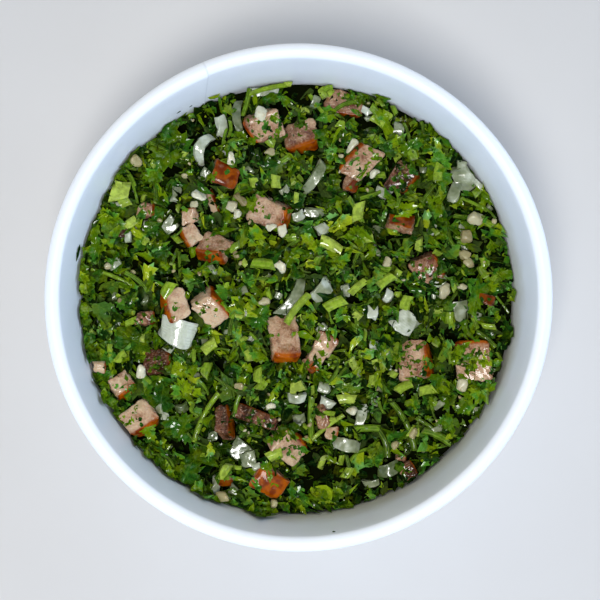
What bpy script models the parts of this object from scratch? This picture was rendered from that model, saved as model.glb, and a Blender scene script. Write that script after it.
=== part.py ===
"""Tabbouleh in a white paper takeaway bowl with a rolled rim.

Metres, +Z up.  The origin is the middle of the bowl's standing ring, at table height.
There are two solids.  The bowl is turned from one profile.  The salad is a core that fills
the bowl, with the chopped pieces that show fused on its top.
"""

import math
import random

import bmesh
import bpy
from mathutils import Matrix, Vector
from mathutils.bvhtree import BVHTree

MM = 0.001
UP = Vector((0, 0, 1))
DOWN = Vector((0, 0, -1))

# The bowl: outer sizes, the thickness of its board and of its folded foot, and where the
# rim's roll ends, tucked in under itself
RIM_RADIUS = 75 * MM
BOWL_HEIGHT = 60 * MM
ROLL_RADIUS = 2.3 * MM
BOARD = 0.5 * MM
FOOT_RADIUS = 63 * MM
FOOT_WIDTH = 1.6 * MM
BASE_RECESS = 5 * MM
ROLL_TUCK = math.radians(-130)
ROLL_OUTER_FACETS = 9
ROLL_INNER_FACETS = 5
BOWL_STEPS = 72
SHARP_EDGE = math.radians(35)

# The heap: its clearance to the bowl, its height at the wall, how much its middle rises,
# and what no piece reaches
GAP = 0.35 * MM
HEAP_EDGE = 38 * MM
HEAP_CROWN = 3 * MM
HEAP_TOP_LIMIT = 47 * MM
CORE_RINGS = 7
CORE_STEPS = 32
FLAT = math.radians(0.1)

# The chopped pieces, at their real sizes: length, width and thickness or height
LEAF = (13.5 * MM, 10.5 * MM, 0.45 * MM)
LEAF_CORNERS = (6, 7, 8)
TOMATO = (10 * MM, 8.5 * MM, 6.5 * MM)
ONION = (7.5 * MM, 5 * MM, 1.1 * MM)
STEM = (13 * MM, 1.6 * MM)
STEM_SIDES = 5
GRAIN = (3 * MM, 2.1 * MM)

# How many of each lie on top, besides the tomato dice below
LEAF_COUNT = 94
STEM_COUNT = 18
ONION_COUNT = 20
GRAIN_COUNT = 42
SEED = 12

# Where the larger tomato dice lie, in millimetres right of and behind the bowl's middle.
# They are the salad's landmarks.
TOMATO_DICE = (
    (13, 60), (-10, 53), (1, 49), (-23, 38), (20, 43), (32, 36),
    (-9, 27), (-33, 22), (-25, 15), (31, 22), (40, 10), (-38, -2),
    (-27, -4), (-5, -14), (7, -16), (36, -19), (55, -21), (-55, -26),
    (-51, -37), (-22, -40), (-12, -36), (8, -38), (-3, -45), (-9, -56),
)
# How near a leaf's middle comes to that of a tomato dice
DICE_SHOWS = 8 * MM

# For each kind: its material, how deep it is pressed into what is below it, and the most
# that it leans from lying flat, in degrees
PRESSED = {
    "tomato": ("tomato_flesh", 3.6 * MM, 20),
    "leaf": ("parsley_leaf", 0.45 * MM, 16),
    "stem": ("parsley_stem", 0.5 * MM, 8),
    "onion": ("onion_white", 0.5 * MM, 16),
    "grain": ("bulgur_grain", 0.6 * MM, 20),
}
# The share of the ground's slope that a piece takes on, and the tries to place it
FOLLOW = 0.6
SEAT_TRIES = 6

# Colour and roughness
MATERIALS = {
    "white_paper": ((0.90, 0.91, 0.92), 0.45),
    "herb_mass": ((0.035, 0.075, 0.012), 0.45),
    "parsley_leaf": ((0.075, 0.165, 0.018), 0.35),
    "parsley_stem": ((0.26, 0.42, 0.06), 0.35),
    "tomato_flesh": ((0.50, 0.22, 0.15), 0.25),
    "onion_white": ((0.62, 0.66, 0.55), 0.25),
    "bulgur_grain": ((0.74, 0.68, 0.46), 0.5),
}


def clear_scene():
    for obj in list(bpy.data.objects):
        bpy.data.objects.remove(obj, do_unlink=True)


def new_collection(name):
    collection = bpy.data.collections.new(name)
    bpy.context.scene.collection.children.link(collection)
    return collection


def principled(name):
    """The named material, made on first use."""
    if name in bpy.data.materials:
        return bpy.data.materials[name]
    colour, roughness = MATERIALS[name]
    material = bpy.data.materials.new(name)
    material.use_nodes = True
    shader = material.node_tree.nodes["Principled BSDF"]
    shader.inputs["Base Color"].default_value = (*colour, 1)
    shader.inputs["Roughness"].default_value = roughness
    shader.inputs["Metallic"].default_value = 0
    material.diffuse_color = (*colour, 1)
    return material


def link_mesh(name, mesh, collection, material):
    obj = bpy.data.objects.new(name, mesh)
    collection.objects.link(obj)
    obj.data.materials.append(principled(material))
    return obj


def mesh_from(shape, name):
    """A mesh data block from a bmesh, which is freed."""
    mesh = bpy.data.meshes.new(name)
    shape.to_mesh(mesh)
    shape.free()
    return mesh


def evaluated_mesh(obj):
    graph = bpy.context.evaluated_depsgraph_get()
    return bpy.data.meshes.new_from_object(obj.evaluated_get(graph))


# The bowl's lines.  The outside of its wall runs from the foot to the inside of the rim's
# roll, and is tangent to it, which gives the wall's slope.
ROLL_CENTRE = (RIM_RADIUS - ROLL_RADIUS, BOWL_HEIGHT - ROLL_RADIUS)


def wall_slope():
    """The angle of the wall from upright, in radians."""
    across = ROLL_CENTRE[0] - FOOT_RADIUS
    up = ROLL_CENTRE[1]
    return math.acos((ROLL_RADIUS - BOARD) / math.hypot(across, up)) - math.atan2(up, across)


SLOPE = wall_slope()


def outer_radius(z):
    return FOOT_RADIUS + z * math.tan(SLOPE)


def inner_radius(z):
    return outer_radius(z) - BOARD / math.cos(SLOPE)


def arc(radius, start, end, facets):
    """Points along an arc round the roll's centre, both ends included."""
    turns = [start + (end - start) * i / facets for i in range(facets + 1)]
    across, up = ROLL_CENTRE
    return [(across + radius * math.cos(a), up + radius * math.sin(a)) for a in turns]


def turned(outline, steps, name, collection):
    """A Screw of an open outline, as (radius, height) points from axis to axis."""
    shape = bmesh.new()
    corners = [shape.verts.new((radius, 0, height)) for radius, height in outline]
    for first, second in zip(corners, corners[1:]):
        shape.edges.new((first, second))
    obj = bpy.data.objects.new(name, mesh_from(shape, name))
    collection.objects.link(obj)
    screw = obj.modifiers.new("Turn", "SCREW")
    screw.axis = "Z"
    screw.steps = steps
    screw.render_steps = steps
    screw.use_merge_vertices = True
    screw.merge_threshold = 0.01 * MM
    return obj


def bowl_outline():
    """From the middle of the floor up the inside, round the rolled rim and down outside."""
    floor = BASE_RECESS + BOARD
    tangent = math.pi - SLOPE
    points = [(0, floor), (inner_radius(floor), floor)]
    points += arc(ROLL_RADIUS, tangent, ROLL_TUCK, ROLL_OUTER_FACETS)
    points += arc(ROLL_RADIUS - BOARD, ROLL_TUCK, tangent, ROLL_INNER_FACETS)
    points += [
        (FOOT_RADIUS, 0),
        (FOOT_RADIUS - FOOT_WIDTH, 0),
        (outer_radius(BASE_RECESS) - FOOT_WIDTH, BASE_RECESS),
        (0, BASE_RECESS),
    ]
    return points


def build_bowl(collection):
    bowl = turned(bowl_outline(), BOWL_STEPS, "bowl", collection)
    bowl.data.materials.append(principled("white_paper"))
    bowl.data.shade_smooth()
    bowl.data.set_sharp_from_angle(angle=SHARP_EDGE)


def heap_height(x, y):
    """The core's top: a low crown with the swells of a spooned salad, level at the wall."""
    share = min(1, math.hypot(x, y) / inner_radius(HEAP_EDGE))
    swell = (
        1.1 * math.sin(x / (11 * MM) + 0.6) * math.cos(y / (13 * MM))
        + 0.7 * math.sin(y / (7.5 * MM) + 1.9)
        + 0.6 * math.sin((x - y) / (6 * MM))
    )
    return HEAP_EDGE + HEAP_CROWN * (1 - share**2) + swell * MM * (1 - share**6)


def build_core(collection):
    """The turned body that fills the bowl, with its top moved to the heap's surface."""
    bottom = BASE_RECESS + BOARD + GAP
    edge = inner_radius(HEAP_EDGE) - GAP
    outline = [(edge * i / CORE_RINGS, HEAP_EDGE) for i in range(CORE_RINGS + 1)]
    outline += [(inner_radius(bottom) - GAP, bottom), (0, bottom)]
    blank = turned(outline, CORE_STEPS, "core_blank", collection)
    mesh = evaluated_mesh(blank)
    bpy.data.objects.remove(blank)
    for vertex in mesh.vertices:
        x, y, z = vertex.co
        if z > HEAP_EDGE - GAP and math.hypot(x, y) < edge - GAP:
            vertex.co.z = heap_height(x, y)
    return link_mesh("salad", mesh, collection, "herb_mass")


# The chopped pieces.  Each function makes one piece round its own origin, lying in XY.
def leaf_mesh(rng):
    """A torn parsley leaflet: a notched, folded sheet with alike triangles on both faces."""
    length, width, thick = LEAF
    scale = rng.uniform(0.7, 1.2)
    fold = rng.uniform(0.4, 1.0) * MM
    shape = bmesh.new()
    corners = rng.choice(LEAF_CORNERS)
    bmesh.ops.create_circle(shape, cap_ends=True, cap_tris=True, segments=corners, radius=0.5)
    for vertex in shape.verts:
        turn = math.atan2(vertex.co.y, vertex.co.x)
        out = vertex.co.length * 2
        notch = scale * rng.uniform(0.6, 1.12)
        vertex.co.x *= length * notch
        vertex.co.y *= width * notch
        vertex.co.z = fold * out * math.cos(2 * turn)
    bmesh.ops.recalc_face_normals(shape, faces=shape.faces)
    bmesh.ops.solidify(shape, geom=shape.faces, thickness=thick)
    return mesh_from(shape, "leaf")


def dice_mesh(rng):
    """A knife-cut block of tomato with its corners pushed about."""
    shape = bmesh.new()
    bmesh.ops.create_cube(shape, size=1)
    for vertex in shape.verts:
        for axis, side in enumerate(TOMATO):
            vertex.co[axis] *= side * rng.uniform(0.75, 1.15)
    bmesh.ops.triangulate(shape, faces=shape.faces)
    return mesh_from(shape, "dice")


def onion_mesh(rng):
    """A scale of chopped onion, bowed along its length."""
    length, width, thick = ONION
    bow = rng.uniform(0.6, 1.2) * MM
    shape = bmesh.new()
    bmesh.ops.create_grid(shape, x_segments=2, y_segments=1, size=0.5)
    for vertex in shape.verts:
        vertex.co.z = bow * (1 - 2 * abs(vertex.co.x))
        vertex.co.x *= length * rng.uniform(0.85, 1.15)
        vertex.co.y *= width * rng.uniform(0.75, 1.15)
    bmesh.ops.triangulate(shape, faces=shape.faces)
    bmesh.ops.solidify(shape, geom=shape.faces, thickness=thick)
    return mesh_from(shape, "onion")


def stem_mesh(rng):
    """A cut length of stem, a little bent."""
    length, thick = STEM
    length *= rng.uniform(0.6, 1.15)
    radius = thick / 2
    bend = rng.uniform(0.3, 1.4) * MM
    shape = bmesh.new()
    bmesh.ops.create_cone(
        shape, cap_ends=True, segments=STEM_SIDES, radius1=radius, radius2=radius, depth=length
    )
    sides = [edge for edge in shape.edges if edge.calc_length() > length / 2]
    bmesh.ops.subdivide_edges(shape, edges=sides, cuts=1)
    bmesh.ops.transform(shape, matrix=Matrix.Rotation(math.pi / 2, 4, "Y"), verts=shape.verts)
    for vertex in shape.verts:
        vertex.co.y += bend * (1 - (2 * vertex.co.x / length) ** 2)
    bmesh.ops.triangulate(shape, faces=shape.faces)
    return mesh_from(shape, "stem")


def grain_mesh(rng):
    """A cracked grain of bulgur."""
    length, width = GRAIN
    shape = bmesh.new()
    bmesh.ops.create_icosphere(shape, subdivisions=1, radius=0.5)
    for vertex in shape.verts:
        vertex.co.x *= length * rng.uniform(0.85, 1.15)
        vertex.co.y *= width * rng.uniform(0.85, 1.15)
        vertex.co.z *= width * rng.uniform(0.8, 1.1)
    return mesh_from(shape, "grain")


class Ground:
    """What the next piece rests on: the core and the pieces laid so far."""

    def __init__(self, core):
        self.points = []
        self.faces = []
        self.add(core.data, Matrix.Identity(4))

    def add(self, mesh, place):
        first = len(self.points)
        self.points += [place @ vertex.co for vertex in mesh.vertices]
        self.faces += [[first + i for i in face.vertices] for face in mesh.polygons]
        self.tree = BVHTree.FromPolygons(self.points, self.faces)

    def hit(self, x, y):
        """The height of the top there, and its normal."""
        place, normal, _, _ = self.tree.ray_cast(Vector((x, y, BOWL_HEIGHT)), DOWN)
        return (place.z, normal) if place else (HEAP_EDGE, UP)


def probes(mesh, place):
    """The placed mesh's corners and the middles of its faces."""
    corners = [place @ vertex.co for vertex in mesh.vertices]
    middles = [place @ face.center for face in mesh.polygons]
    return corners + middles


def reach_past_wall(points):
    """How far a placed piece comes past its clearance to the bowl."""
    return max(math.hypot(p.x, p.y) - (inner_radius(p.z) - GAP) for p in points)


def seat(mesh, kind, ground, collection, x, y, rng):
    """Lays a piece on what is below it.  One that would cross the bowl is moved inwards,
    and is left out if that fails."""
    material, sink, lean = PRESSED[kind]
    turn = Matrix.Rotation(rng.uniform(0, math.tau), 4, "Z")
    axis = Vector((rng.uniform(-1, 1), rng.uniform(-1, 1), 0)).normalized()
    tilt = Matrix.Rotation(math.radians(rng.uniform(-lean, lean)), 4, axis)
    for _ in range(SEAT_TRIES):
        _, normal = ground.hit(x, y)
        upright = UP.lerp(normal, FOLLOW).to_track_quat("Z", "Y").to_matrix().to_4x4()
        place = Matrix.Translation((x, y, 0)) @ upright @ tilt @ turn
        lift = max(ground.hit(p.x, p.y)[0] - p.z for p in probes(mesh, place)) - sink
        place = Matrix.Translation((0, 0, lift)) @ place
        points = probes(mesh, place)
        over = reach_past_wall(points)
        if over <= 0 and max(p.z for p in points) < HEAP_TOP_LIMIT:
            piece = link_mesh(kind, mesh, collection, material)
            piece.matrix_world = place
            ground.add(mesh, place)
            return
        inwards = 1 - (max(over, 0) + GAP) / max(math.hypot(x, y), GAP)
        x, y = x * inwards, y * inwards


def spread(count, reach, phase):
    """Evenly spread places on a disc, along a sunflower's spiral."""
    golden = math.pi * (3 - math.sqrt(5))
    for i in range(count):
        radius = reach * math.sqrt((i + 0.5) / count)
        turn = i * golden + phase
        yield radius * math.cos(turn), radius * math.sin(turn)


def clear_of_dice(x, y):
    """The place moved sideways, where needed, to leave the nearest tomato dice showing."""
    middles = [Vector((right * MM, behind * MM)) for right, behind in TOMATO_DICE]
    place = Vector((x, y))
    near = min(middles, key=lambda middle: (place - middle).length)
    away = place - near
    if away.length < DICE_SHOWS:
        place = near + away.normalized() * DICE_SHOWS
    return place.x, place.y


def scatter_pieces(core, collection):
    """The pieces that show, largest first."""
    rng = random.Random(SEED)
    ground = Ground(core)
    reach = inner_radius(HEAP_EDGE) - 2 * MM
    for right, behind in TOMATO_DICE:
        seat(dice_mesh(rng), "tomato", ground, collection, right * MM, behind * MM, rng)
    for place in spread(LEAF_COUNT, reach, 0.3):
        x, y = clear_of_dice(*place)
        seat(leaf_mesh(rng), "leaf", ground, collection, x, y, rng)
    for x, y in spread(STEM_COUNT, reach, 1.1):
        seat(stem_mesh(rng), "stem", ground, collection, x, y, rng)
    for x, y in spread(ONION_COUNT, reach, 2.0):
        seat(onion_mesh(rng), "onion", ground, collection, x, y, rng)
    for x, y in spread(GRAIN_COUNT, reach, 2.9):
        seat(grain_mesh(rng), "grain", ground, collection, x, y, rng)


def islands(shape):
    """The bmesh's vertices in connected groups."""
    left = set(shape.verts)
    while left:
        group, front = set(), [left.pop()]
        while front:
            vertex = front.pop()
            group.add(vertex)
            near = [edge.other_vert(vertex) for edge in vertex.link_edges]
            fresh = [other for other in near if other in left]
            left.difference_update(fresh)
            front += fresh
        yield group


def keep_skin(mesh):
    """Keeps the one outer skin, which fills sealed hollows and drops loose scraps."""
    shape = bmesh.new()
    shape.from_mesh(mesh)
    for group in sorted(islands(shape), key=len)[:-1]:
        bmesh.ops.delete(shape, geom=list(group), context="VERTS")
    bmesh.ops.dissolve_limit(
        shape, angle_limit=FLAT, verts=shape.verts, edges=shape.edges, delimit={"MATERIAL"}
    )
    bmesh.ops.triangulate(shape, faces=shape.faces)
    shape.to_mesh(mesh)
    shape.free()


def fuse(core, pieces):
    """Joins every piece to the core, as one closed solid with each piece's own colour."""
    union = core.modifiers.new("Fuse", "BOOLEAN")
    union.operation = "UNION"
    union.operand_type = "COLLECTION"
    union.collection = pieces
    union.solver = "MANIFOLD"
    union.material_mode = "TRANSFER"
    mesh = evaluated_mesh(core)
    core.modifiers.clear()
    core.data = mesh
    for obj in list(pieces.objects):
        bpy.data.objects.remove(obj)
    bpy.data.collections.remove(pieces)
    keep_skin(mesh)


def main():
    clear_scene()
    parts = new_collection("tabbouleh")
    pieces = new_collection("pieces")
    build_bowl(parts)
    core = build_core(parts)
    scatter_pieces(core, pieces)
    fuse(core, pieces)


main()
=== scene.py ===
import math
from collections import namedtuple

import bpy
import numpy as np
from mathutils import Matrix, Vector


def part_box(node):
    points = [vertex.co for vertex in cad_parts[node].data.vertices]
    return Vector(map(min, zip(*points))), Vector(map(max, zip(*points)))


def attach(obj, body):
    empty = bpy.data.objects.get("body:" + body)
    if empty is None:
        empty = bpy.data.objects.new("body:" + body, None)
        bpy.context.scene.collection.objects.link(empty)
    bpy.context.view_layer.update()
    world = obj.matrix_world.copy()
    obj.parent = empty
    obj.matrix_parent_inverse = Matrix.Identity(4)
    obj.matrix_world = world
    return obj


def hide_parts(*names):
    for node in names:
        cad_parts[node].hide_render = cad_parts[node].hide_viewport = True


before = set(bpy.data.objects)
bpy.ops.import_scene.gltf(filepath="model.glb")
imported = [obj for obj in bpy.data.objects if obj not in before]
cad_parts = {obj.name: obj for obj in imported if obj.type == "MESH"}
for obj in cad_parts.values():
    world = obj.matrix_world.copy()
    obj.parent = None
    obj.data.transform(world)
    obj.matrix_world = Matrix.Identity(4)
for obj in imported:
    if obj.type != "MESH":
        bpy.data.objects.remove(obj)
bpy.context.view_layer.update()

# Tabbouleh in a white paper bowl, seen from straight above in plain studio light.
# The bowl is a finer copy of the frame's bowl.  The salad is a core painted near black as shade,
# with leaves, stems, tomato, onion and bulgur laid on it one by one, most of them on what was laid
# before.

MM = 0.001

# The bowl, from the frame's own sizes
BOWL_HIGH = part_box("bowl")[1]
RIM_RADIUS = BOWL_HIGH.x
BOWL_HEIGHT = BOWL_HIGH.z
ROLL_RADIUS = 2.3 * MM
BOARD = 0.5 * MM
FOOT_RADIUS = 63 * MM
FOOT_WIDTH = 1.6 * MM
BASE_RECESS = 5 * MM
ROLL_TUCK = math.radians(-130)
ROLL_CENTRE = (RIM_RADIUS - ROLL_RADIUS, BOWL_HEIGHT - ROLL_RADIUS)

# The heap's surface, as in the frame
HEAP_EDGE = 38 * MM
HEAP_CROWN = 3 * MM
GAP = 0.35 * MM

rng = np.random.default_rng(21)


def wall_slope():
    """The angle of the wall from upright, in radians."""
    across = ROLL_CENTRE[0] - FOOT_RADIUS
    up = ROLL_CENTRE[1]
    return math.acos((ROLL_RADIUS - BOARD) / math.hypot(across, up)) - math.atan2(up, across)


SLOPE = wall_slope()


def outer_radius(z):
    return FOOT_RADIUS + z * math.tan(SLOPE)


def inner_radius(z):
    return outer_radius(z) - BOARD / math.cos(SLOPE)


def wave(along, length, start=0.0):
    """A regular swell, of a length in mm for each radian."""
    return np.sin(along / (length * MM) + start)


def heap_height(x, y):
    """The salad's top: a low crown with the swells of a spooned salad, level at the wall."""
    share = np.minimum(1, np.hypot(x, y) / inner_radius(HEAP_EDGE))
    swell = (
        1.1 * wave(x, 11, 0.6) * np.cos(y / (13 * MM))
        + 0.7 * wave(y, 7.5, 1.9)
        + 0.6 * wave(x - y, 6)
    )
    return HEAP_EDGE + HEAP_CROWN * (1 - share**2) + swell * MM * (1 - share**6)


# Colours, as the share of red, green and blue light given back.  A row of them runs with a
# piece's tone, each at a place from 0 to 1.  COOL_AND_SHEEN and BRIGHTER multiply another colour.
PARSLEY = (
    (0.0, (0.0007, 0.004, 0.0001)),
    (0.22, (0.009, 0.030, 0.0005)),
    (0.46, (0.064, 0.142, 0.0012)),
    (0.7, (0.178, 0.290, 0.003)),
    (1.0, (0.36, 0.46, 0.016)),
)
PARSLEY_YELLOW = (0.26, 0.28, 0.006)
PARSLEY_BELOW = (0.12, 0.19, 0.04)
PARSLEY_VEIN = (0.22, 0.31, 0.02)
# A cooler, bluer green: partly a real cooler leaf colour, partly a painted bluish sheen of wet leaves.
COOL_AND_SHEEN = (0.5, 0.95, 7.0)
BRIGHTER = (1.9, 1.7, 1.5)
STEM = (
    (0.0, (0.022, 0.062, 0.002)),
    (0.4, (0.075, 0.165, 0.004)),
    (0.75, (0.180, 0.285, 0.014)),
    (1.0, (0.320, 0.410, 0.060)),
)
STEM_RIDGE = (0.28, 0.36, 0.05)
STEM_CUT = (0.38, 0.46, 0.15)
FLESH = (
    (0.0, (0.60, 0.445, 0.285)),
    (0.25, (0.49, 0.315, 0.195)),
    (0.5, (0.31, 0.165, 0.090)),
    (0.75, (0.15, 0.055, 0.030)),
    (1.0, (0.035, 0.013, 0.005)),
)
FLESH_FIBRE = (0.60, 0.44, 0.30)
FLESH_PALE_AND_GLINT = (0.62, 0.48, 0.36)
FLESH_JUICE_AND_SHADE = (0.17, 0.12, 0.012)
PEEL_DARK = (0.17, 0.024, 0.0005)
PEEL_RIPE = (0.40, 0.092, 0.001)
ONION_TONES = ((0.0, (0.07, 0.10, 0.025)), (0.5, (0.25, 0.28, 0.16)), (1.0, (0.54, 0.58, 0.46)))
ONION_LINE = (0.16, 0.20, 0.09)
BULGUR_TONES = ((0.0, (0.19, 0.15, 0.05)), (0.45, (0.36, 0.32, 0.15)), (1.0, (0.62, 0.61, 0.44)))
BULGUR_CREASE = (0.45, 0.30, 0.12)
# The core's near-black colours are painted shade: the dark between and below the pieces.
CORE_SHADE_GREEN = (0.001, 0.003, 0.0003)
CORE_SHADE_BROWN = (0.005, 0.006, 0.0006)
# The board's whites lean blue: partly the board's own colour, partly painted cool light.
BOARD_WHITE_COOL_LIT = (0.77, 0.82, 0.88)
BOARD_BRIGHT_COOL_LIT = (0.81, 0.86, 0.91)
BOARD_SPECK = (0.40, 0.42, 0.40)
BOARD_SEAM_SHADE = (0.42, 0.47, 0.52)
OIL_STAIN_AND_SHADE = (0.40, 0.35, 0.18)
FLOOR_PALE = (0.60, 0.59, 0.57)
FLOOR_BRIGHT = (0.63, 0.62, 0.60)

# The side of the bowl where the wall above the salad is darkened most, partly by a dressing stain and
# partly as painted shade
STAIN_AND_SHADE_SIDE = (0.55, -0.83, 0)


class Value:
    """A node's output.  Plain sums on it add the nodes that work them out."""

    def __init__(self, look, socket):
        self.look = look
        self.socket = socket

    def __add__(self, other):
        return self.look.maths("ADD", self, other)

    def __sub__(self, other):
        return self.look.maths("SUBTRACT", self, other)

    def __mul__(self, other):
        return self.look.maths("MULTIPLY", self, other)


class Look:
    """The nodes of a material or a sky, with a short call for each kind.  Sizes in mm."""

    def __init__(self, owner, shader="Principled BSDF"):
        owner.use_nodes = True
        self.owner = owner
        self.tree = owner.node_tree
        self.shader = self.tree.nodes[shader]

    def put(self, socket, value):
        """Links an output to the socket, or sets the socket to a plain value or colour."""
        if isinstance(value, Value):
            self.tree.links.new(value.socket, socket)
        else:
            socket.default_value = (*value, 1) if socket.type == "RGBA" else value

    def set(self, **values):
        """Sets shader sockets, named with underscores for spaces."""
        for key, value in values.items():
            self.put(self.shader.inputs[key.replace("_", " ")], value)

    def node(self, kind, inputs, output=0, **settings):
        """Adds a node and gives one of its outputs."""
        made = self.tree.nodes.new("ShaderNode" + kind)
        for key, value in settings.items():
            setattr(made, key, value)
        for key, value in inputs.items():
            self.put(made.inputs[key], value)
        return Value(self, made.outputs[output])

    def attribute(self, name, output="Fac"):
        return self.node("Attribute", {}, output, attribute_name=name)

    def position(self):
        return self.node("TexCoord", {}, "Object")

    def part(self, vector, axis):
        return self.node("SeparateXYZ", {0: vector}, axis)

    def toward(self, vector, side):
        """How far a vector reaches to a side."""
        return self.node("VectorMath", {0: vector, 1: side}, "Value", operation="DOT_PRODUCT")

    def maths(self, operation, first, second=0.0):
        return self.node("Math", {0: first, 1: second}, operation=operation)

    def stripes(self, value, turns):
        return self.maths("SINE", value * turns)

    def noise(self, size, detail=2, roughness=0.5):
        """Noise whose lumps are about `size` across."""
        inputs = {"Vector": self.position(), "Scale": 1 / (size * MM)}
        inputs |= {"Detail": detail, "Roughness": roughness}
        return self.node("TexNoise", inputs, "Fac")

    def ramp(self, factor, low, high, to_low=0.0, to_high=1.0):
        """Maps low..high to to_low..to_high, clamped, with soft ends."""
        inputs = {"Value": factor, "From Min": low, "From Max": high}
        inputs |= {"To Min": to_low, "To Max": to_high}
        return self.node("MapRange", inputs, "Result", interpolation_type="SMOOTHSTEP")

    def patches(self, size, detail, *limits):
        """Noise put through a ramp with these limits."""
        return self.ramp(self.noise(size, detail), *limits)

    def colours(self, factor, stops):
        """A colour ramp through (place, colour) stops."""
        colour = self.node("ValToRGB", {"Fac": factor}, "Color")
        marks = colour.socket.node.color_ramp.elements
        while len(marks) < len(stops):
            marks.new(1)
        for mark, (place, shade) in zip(marks, stops):
            mark.position = place
            mark.color = (*shade, 1)
        return colour

    def mix(self, factor, first, second, blend="MIX"):
        inputs = {0: factor, 6: first, 7: second}
        return self.node("Mix", inputs, 2, data_type="RGBA", blend_type=blend)

    def times(self, colour, by):
        return self.mix(1.0, colour, by, "MULTIPLY")

    def grey(self, value):
        return self.node("CombineXYZ", {0: value, 1: value, 2: value})

    def let_in(self, share, colours, depth):
        """Lets light scatter below the surface, to a depth for each colour."""
        self.set(Subsurface_Weight=share, Subsurface_Radius=colours, Subsurface_Scale=depth * MM)

    def bump(self, height, depth, strength=1.0):
        """Sets the shader's normal from a height of 0 to 1 that stands for `depth`."""
        inputs = {"Height": height, "Distance": depth * MM, "Strength": strength}
        self.set(Normal=self.node("Bump", inputs, "Normal"))


def material_look(name):
    return Look(bpy.data.materials.new(name))


def leaf_look(name, mottling):
    """Wet parsley: dark to yellow-green by piece, paler below, with a midrib and side veins."""
    look = material_look(name)
    tone = look.attribute("tone")
    place = look.attribute("place", "Vector")
    along = look.part(place, "X")
    across = look.maths("ABSOLUTE", look.part(place, "Y"))
    speckle = look.noise(1.5, 4, 0.65) - 0.5
    green = look.colours(tone + speckle * mottling, PARSLEY)
    patch = look.noise(4.5, 2)
    yellowed = look.mix(0.5, green, PARSLEY_YELLOW)
    green = look.mix(look.ramp(patch, 0.57, 0.7, 0, 0.4), green, yellowed)
    # Bluer patches: partly cooler leaves, partly painted sheen.
    green = look.mix(look.ramp(patch, 0.39, 0.52, 1, 0), green, look.times(green, COOL_AND_SHEEN))
    green = look.mix(look.part(place, "Z"), green, look.mix(0.3, green, PARSLEY_BELOW))
    rim = look.ramp(along * along + across * across, 0.6, 1.0, 0, 0.8)
    rib = look.ramp(across, 0.0, 0.09, 1, 0)
    side_veins = look.ramp(look.stripes(along + across, 19.0), 0.86, 1.0, 0, 0.55)
    veins = look.maths("MAXIMUM", rib, side_veins)
    light = look.maths("MAXIMUM", veins, rim) * 0.3
    green = look.mix(light, green, look.mix(0.35, look.times(green, BRIGHTER), PARSLEY_VEIN))
    wet = look.patches(1.5, 2, 0.48, 0.6, 0.0, 0.75) * look.ramp(tone, 0.0, 0.4, 0.08, 1)
    look.set(Base_Color=green, Roughness=0.75, Specular_IOR_Level=0.02)
    look.set(Coat_Weight=wet, Coat_Roughness=0.1)
    look.bump(look.noise(1.3, 2) + look.noise(0.55, 3, 0.7) - veins * 0.3, 0.5, 0.9)
    return look.owner


def stem_look():
    """Cut stems and spring onion greens, fluted along their length and pale at the cuts."""
    look = material_look("stem")
    place = look.attribute("place", "Vector")
    flutes = look.stripes(look.part(place, "Y"), 44.0)
    green = look.colours(look.attribute("tone"), STEM)
    green = look.mix(look.ramp(flutes, -1, 1, 0, 0.3), green, STEM_RIDGE)
    green = look.mix(look.part(place, "Z") * 0.5, green, STEM_CUT)
    mottle = look.ramp(look.noise(1.8, 3, 0.6), 0.38, 0.62, 0.8, 1.3)
    wet = look.patches(2.2, 2, 0.48, 0.6, 0.0, 0.8)
    look.set(Base_Color=look.times(green, look.grey(mottle)), Roughness=0.55)
    look.set(Coat_Weight=wet, Coat_Roughness=0.1, Specular_IOR_Level=0.06)
    look.let_in(0.15, (0.6, 1.0, 0.2), 1)
    look.bump(look.noise(1.1, 3) + flutes * 0.15, 0.4, 0.7)
    return look.owner


def tomato_look():
    """Watery pink flesh with pale fibres, and a smooth orange-red skin on one side."""
    look = material_look("tomato")
    tone = look.attribute("tone")
    place = look.attribute("place", "Vector")
    cloud = (look.noise(3.8, 2) - 0.5) * 1.3 + (look.noise(0.6, 1) - 0.5) * 0.6
    flesh = look.colours(tone + (cloud + look.part(place, "X") * 0.1), FLESH)
    stripes = look.stripes(look.part(place, "Y"), 26.0)
    fibres = look.ramp(stripes, 0.2, 1) * look.patches(1.6, 2, 0.45, 0.6, 0, 0.16)
    flesh = look.mix(fibres, flesh, FLESH_FIBRE)
    # Pale flecks: partly pale flesh, partly painted glints on the wet flesh.
    flesh = look.mix(look.patches(0.8, 1, 0.6, 0.72, 0, 0.45), flesh, FLESH_PALE_AND_GLINT)
    # Olive patches on the flesh: partly juice from the leaves, partly painted shadow of leaves over it.
    juice_and_shade = look.mix(0.55, flesh, FLESH_JUICE_AND_SHADE)
    flesh = look.mix(look.patches(2.8, 2, 0.54, 0.68, 0, 0.5), flesh, juice_and_shade)
    peel = look.mix(look.patches(3, 2, 0.36, 0.62), PEEL_DARK, PEEL_RIPE)
    peel = look.times(peel, look.grey(look.ramp(tone, 0.3, 0.8, 0.95, 0.5)))
    skin = look.part(place, "Z") * look.patches(2.6, 2, 0.3, 0.42, 0.75, 1)
    look.set(Base_Color=look.mix(skin, flesh, peel), Specular_IOR_Level=0.04)
    look.set(Roughness=look.ramp(skin, 0, 1, 0.42, 0.3))
    look.set(Coat_Weight=look.ramp(skin, 0, 1, 0.5, 0.3), Coat_Roughness=0.06)
    look.let_in(0.25, (1.0, 0.5, 0.3), 1)
    rough = look.noise(0.6, 2, 0.6) + look.noise(3.0, 1)
    look.bump(rough * look.ramp(skin, 0, 1, 1, 0.2), 0.3, 0.7)
    return look.owner


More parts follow.
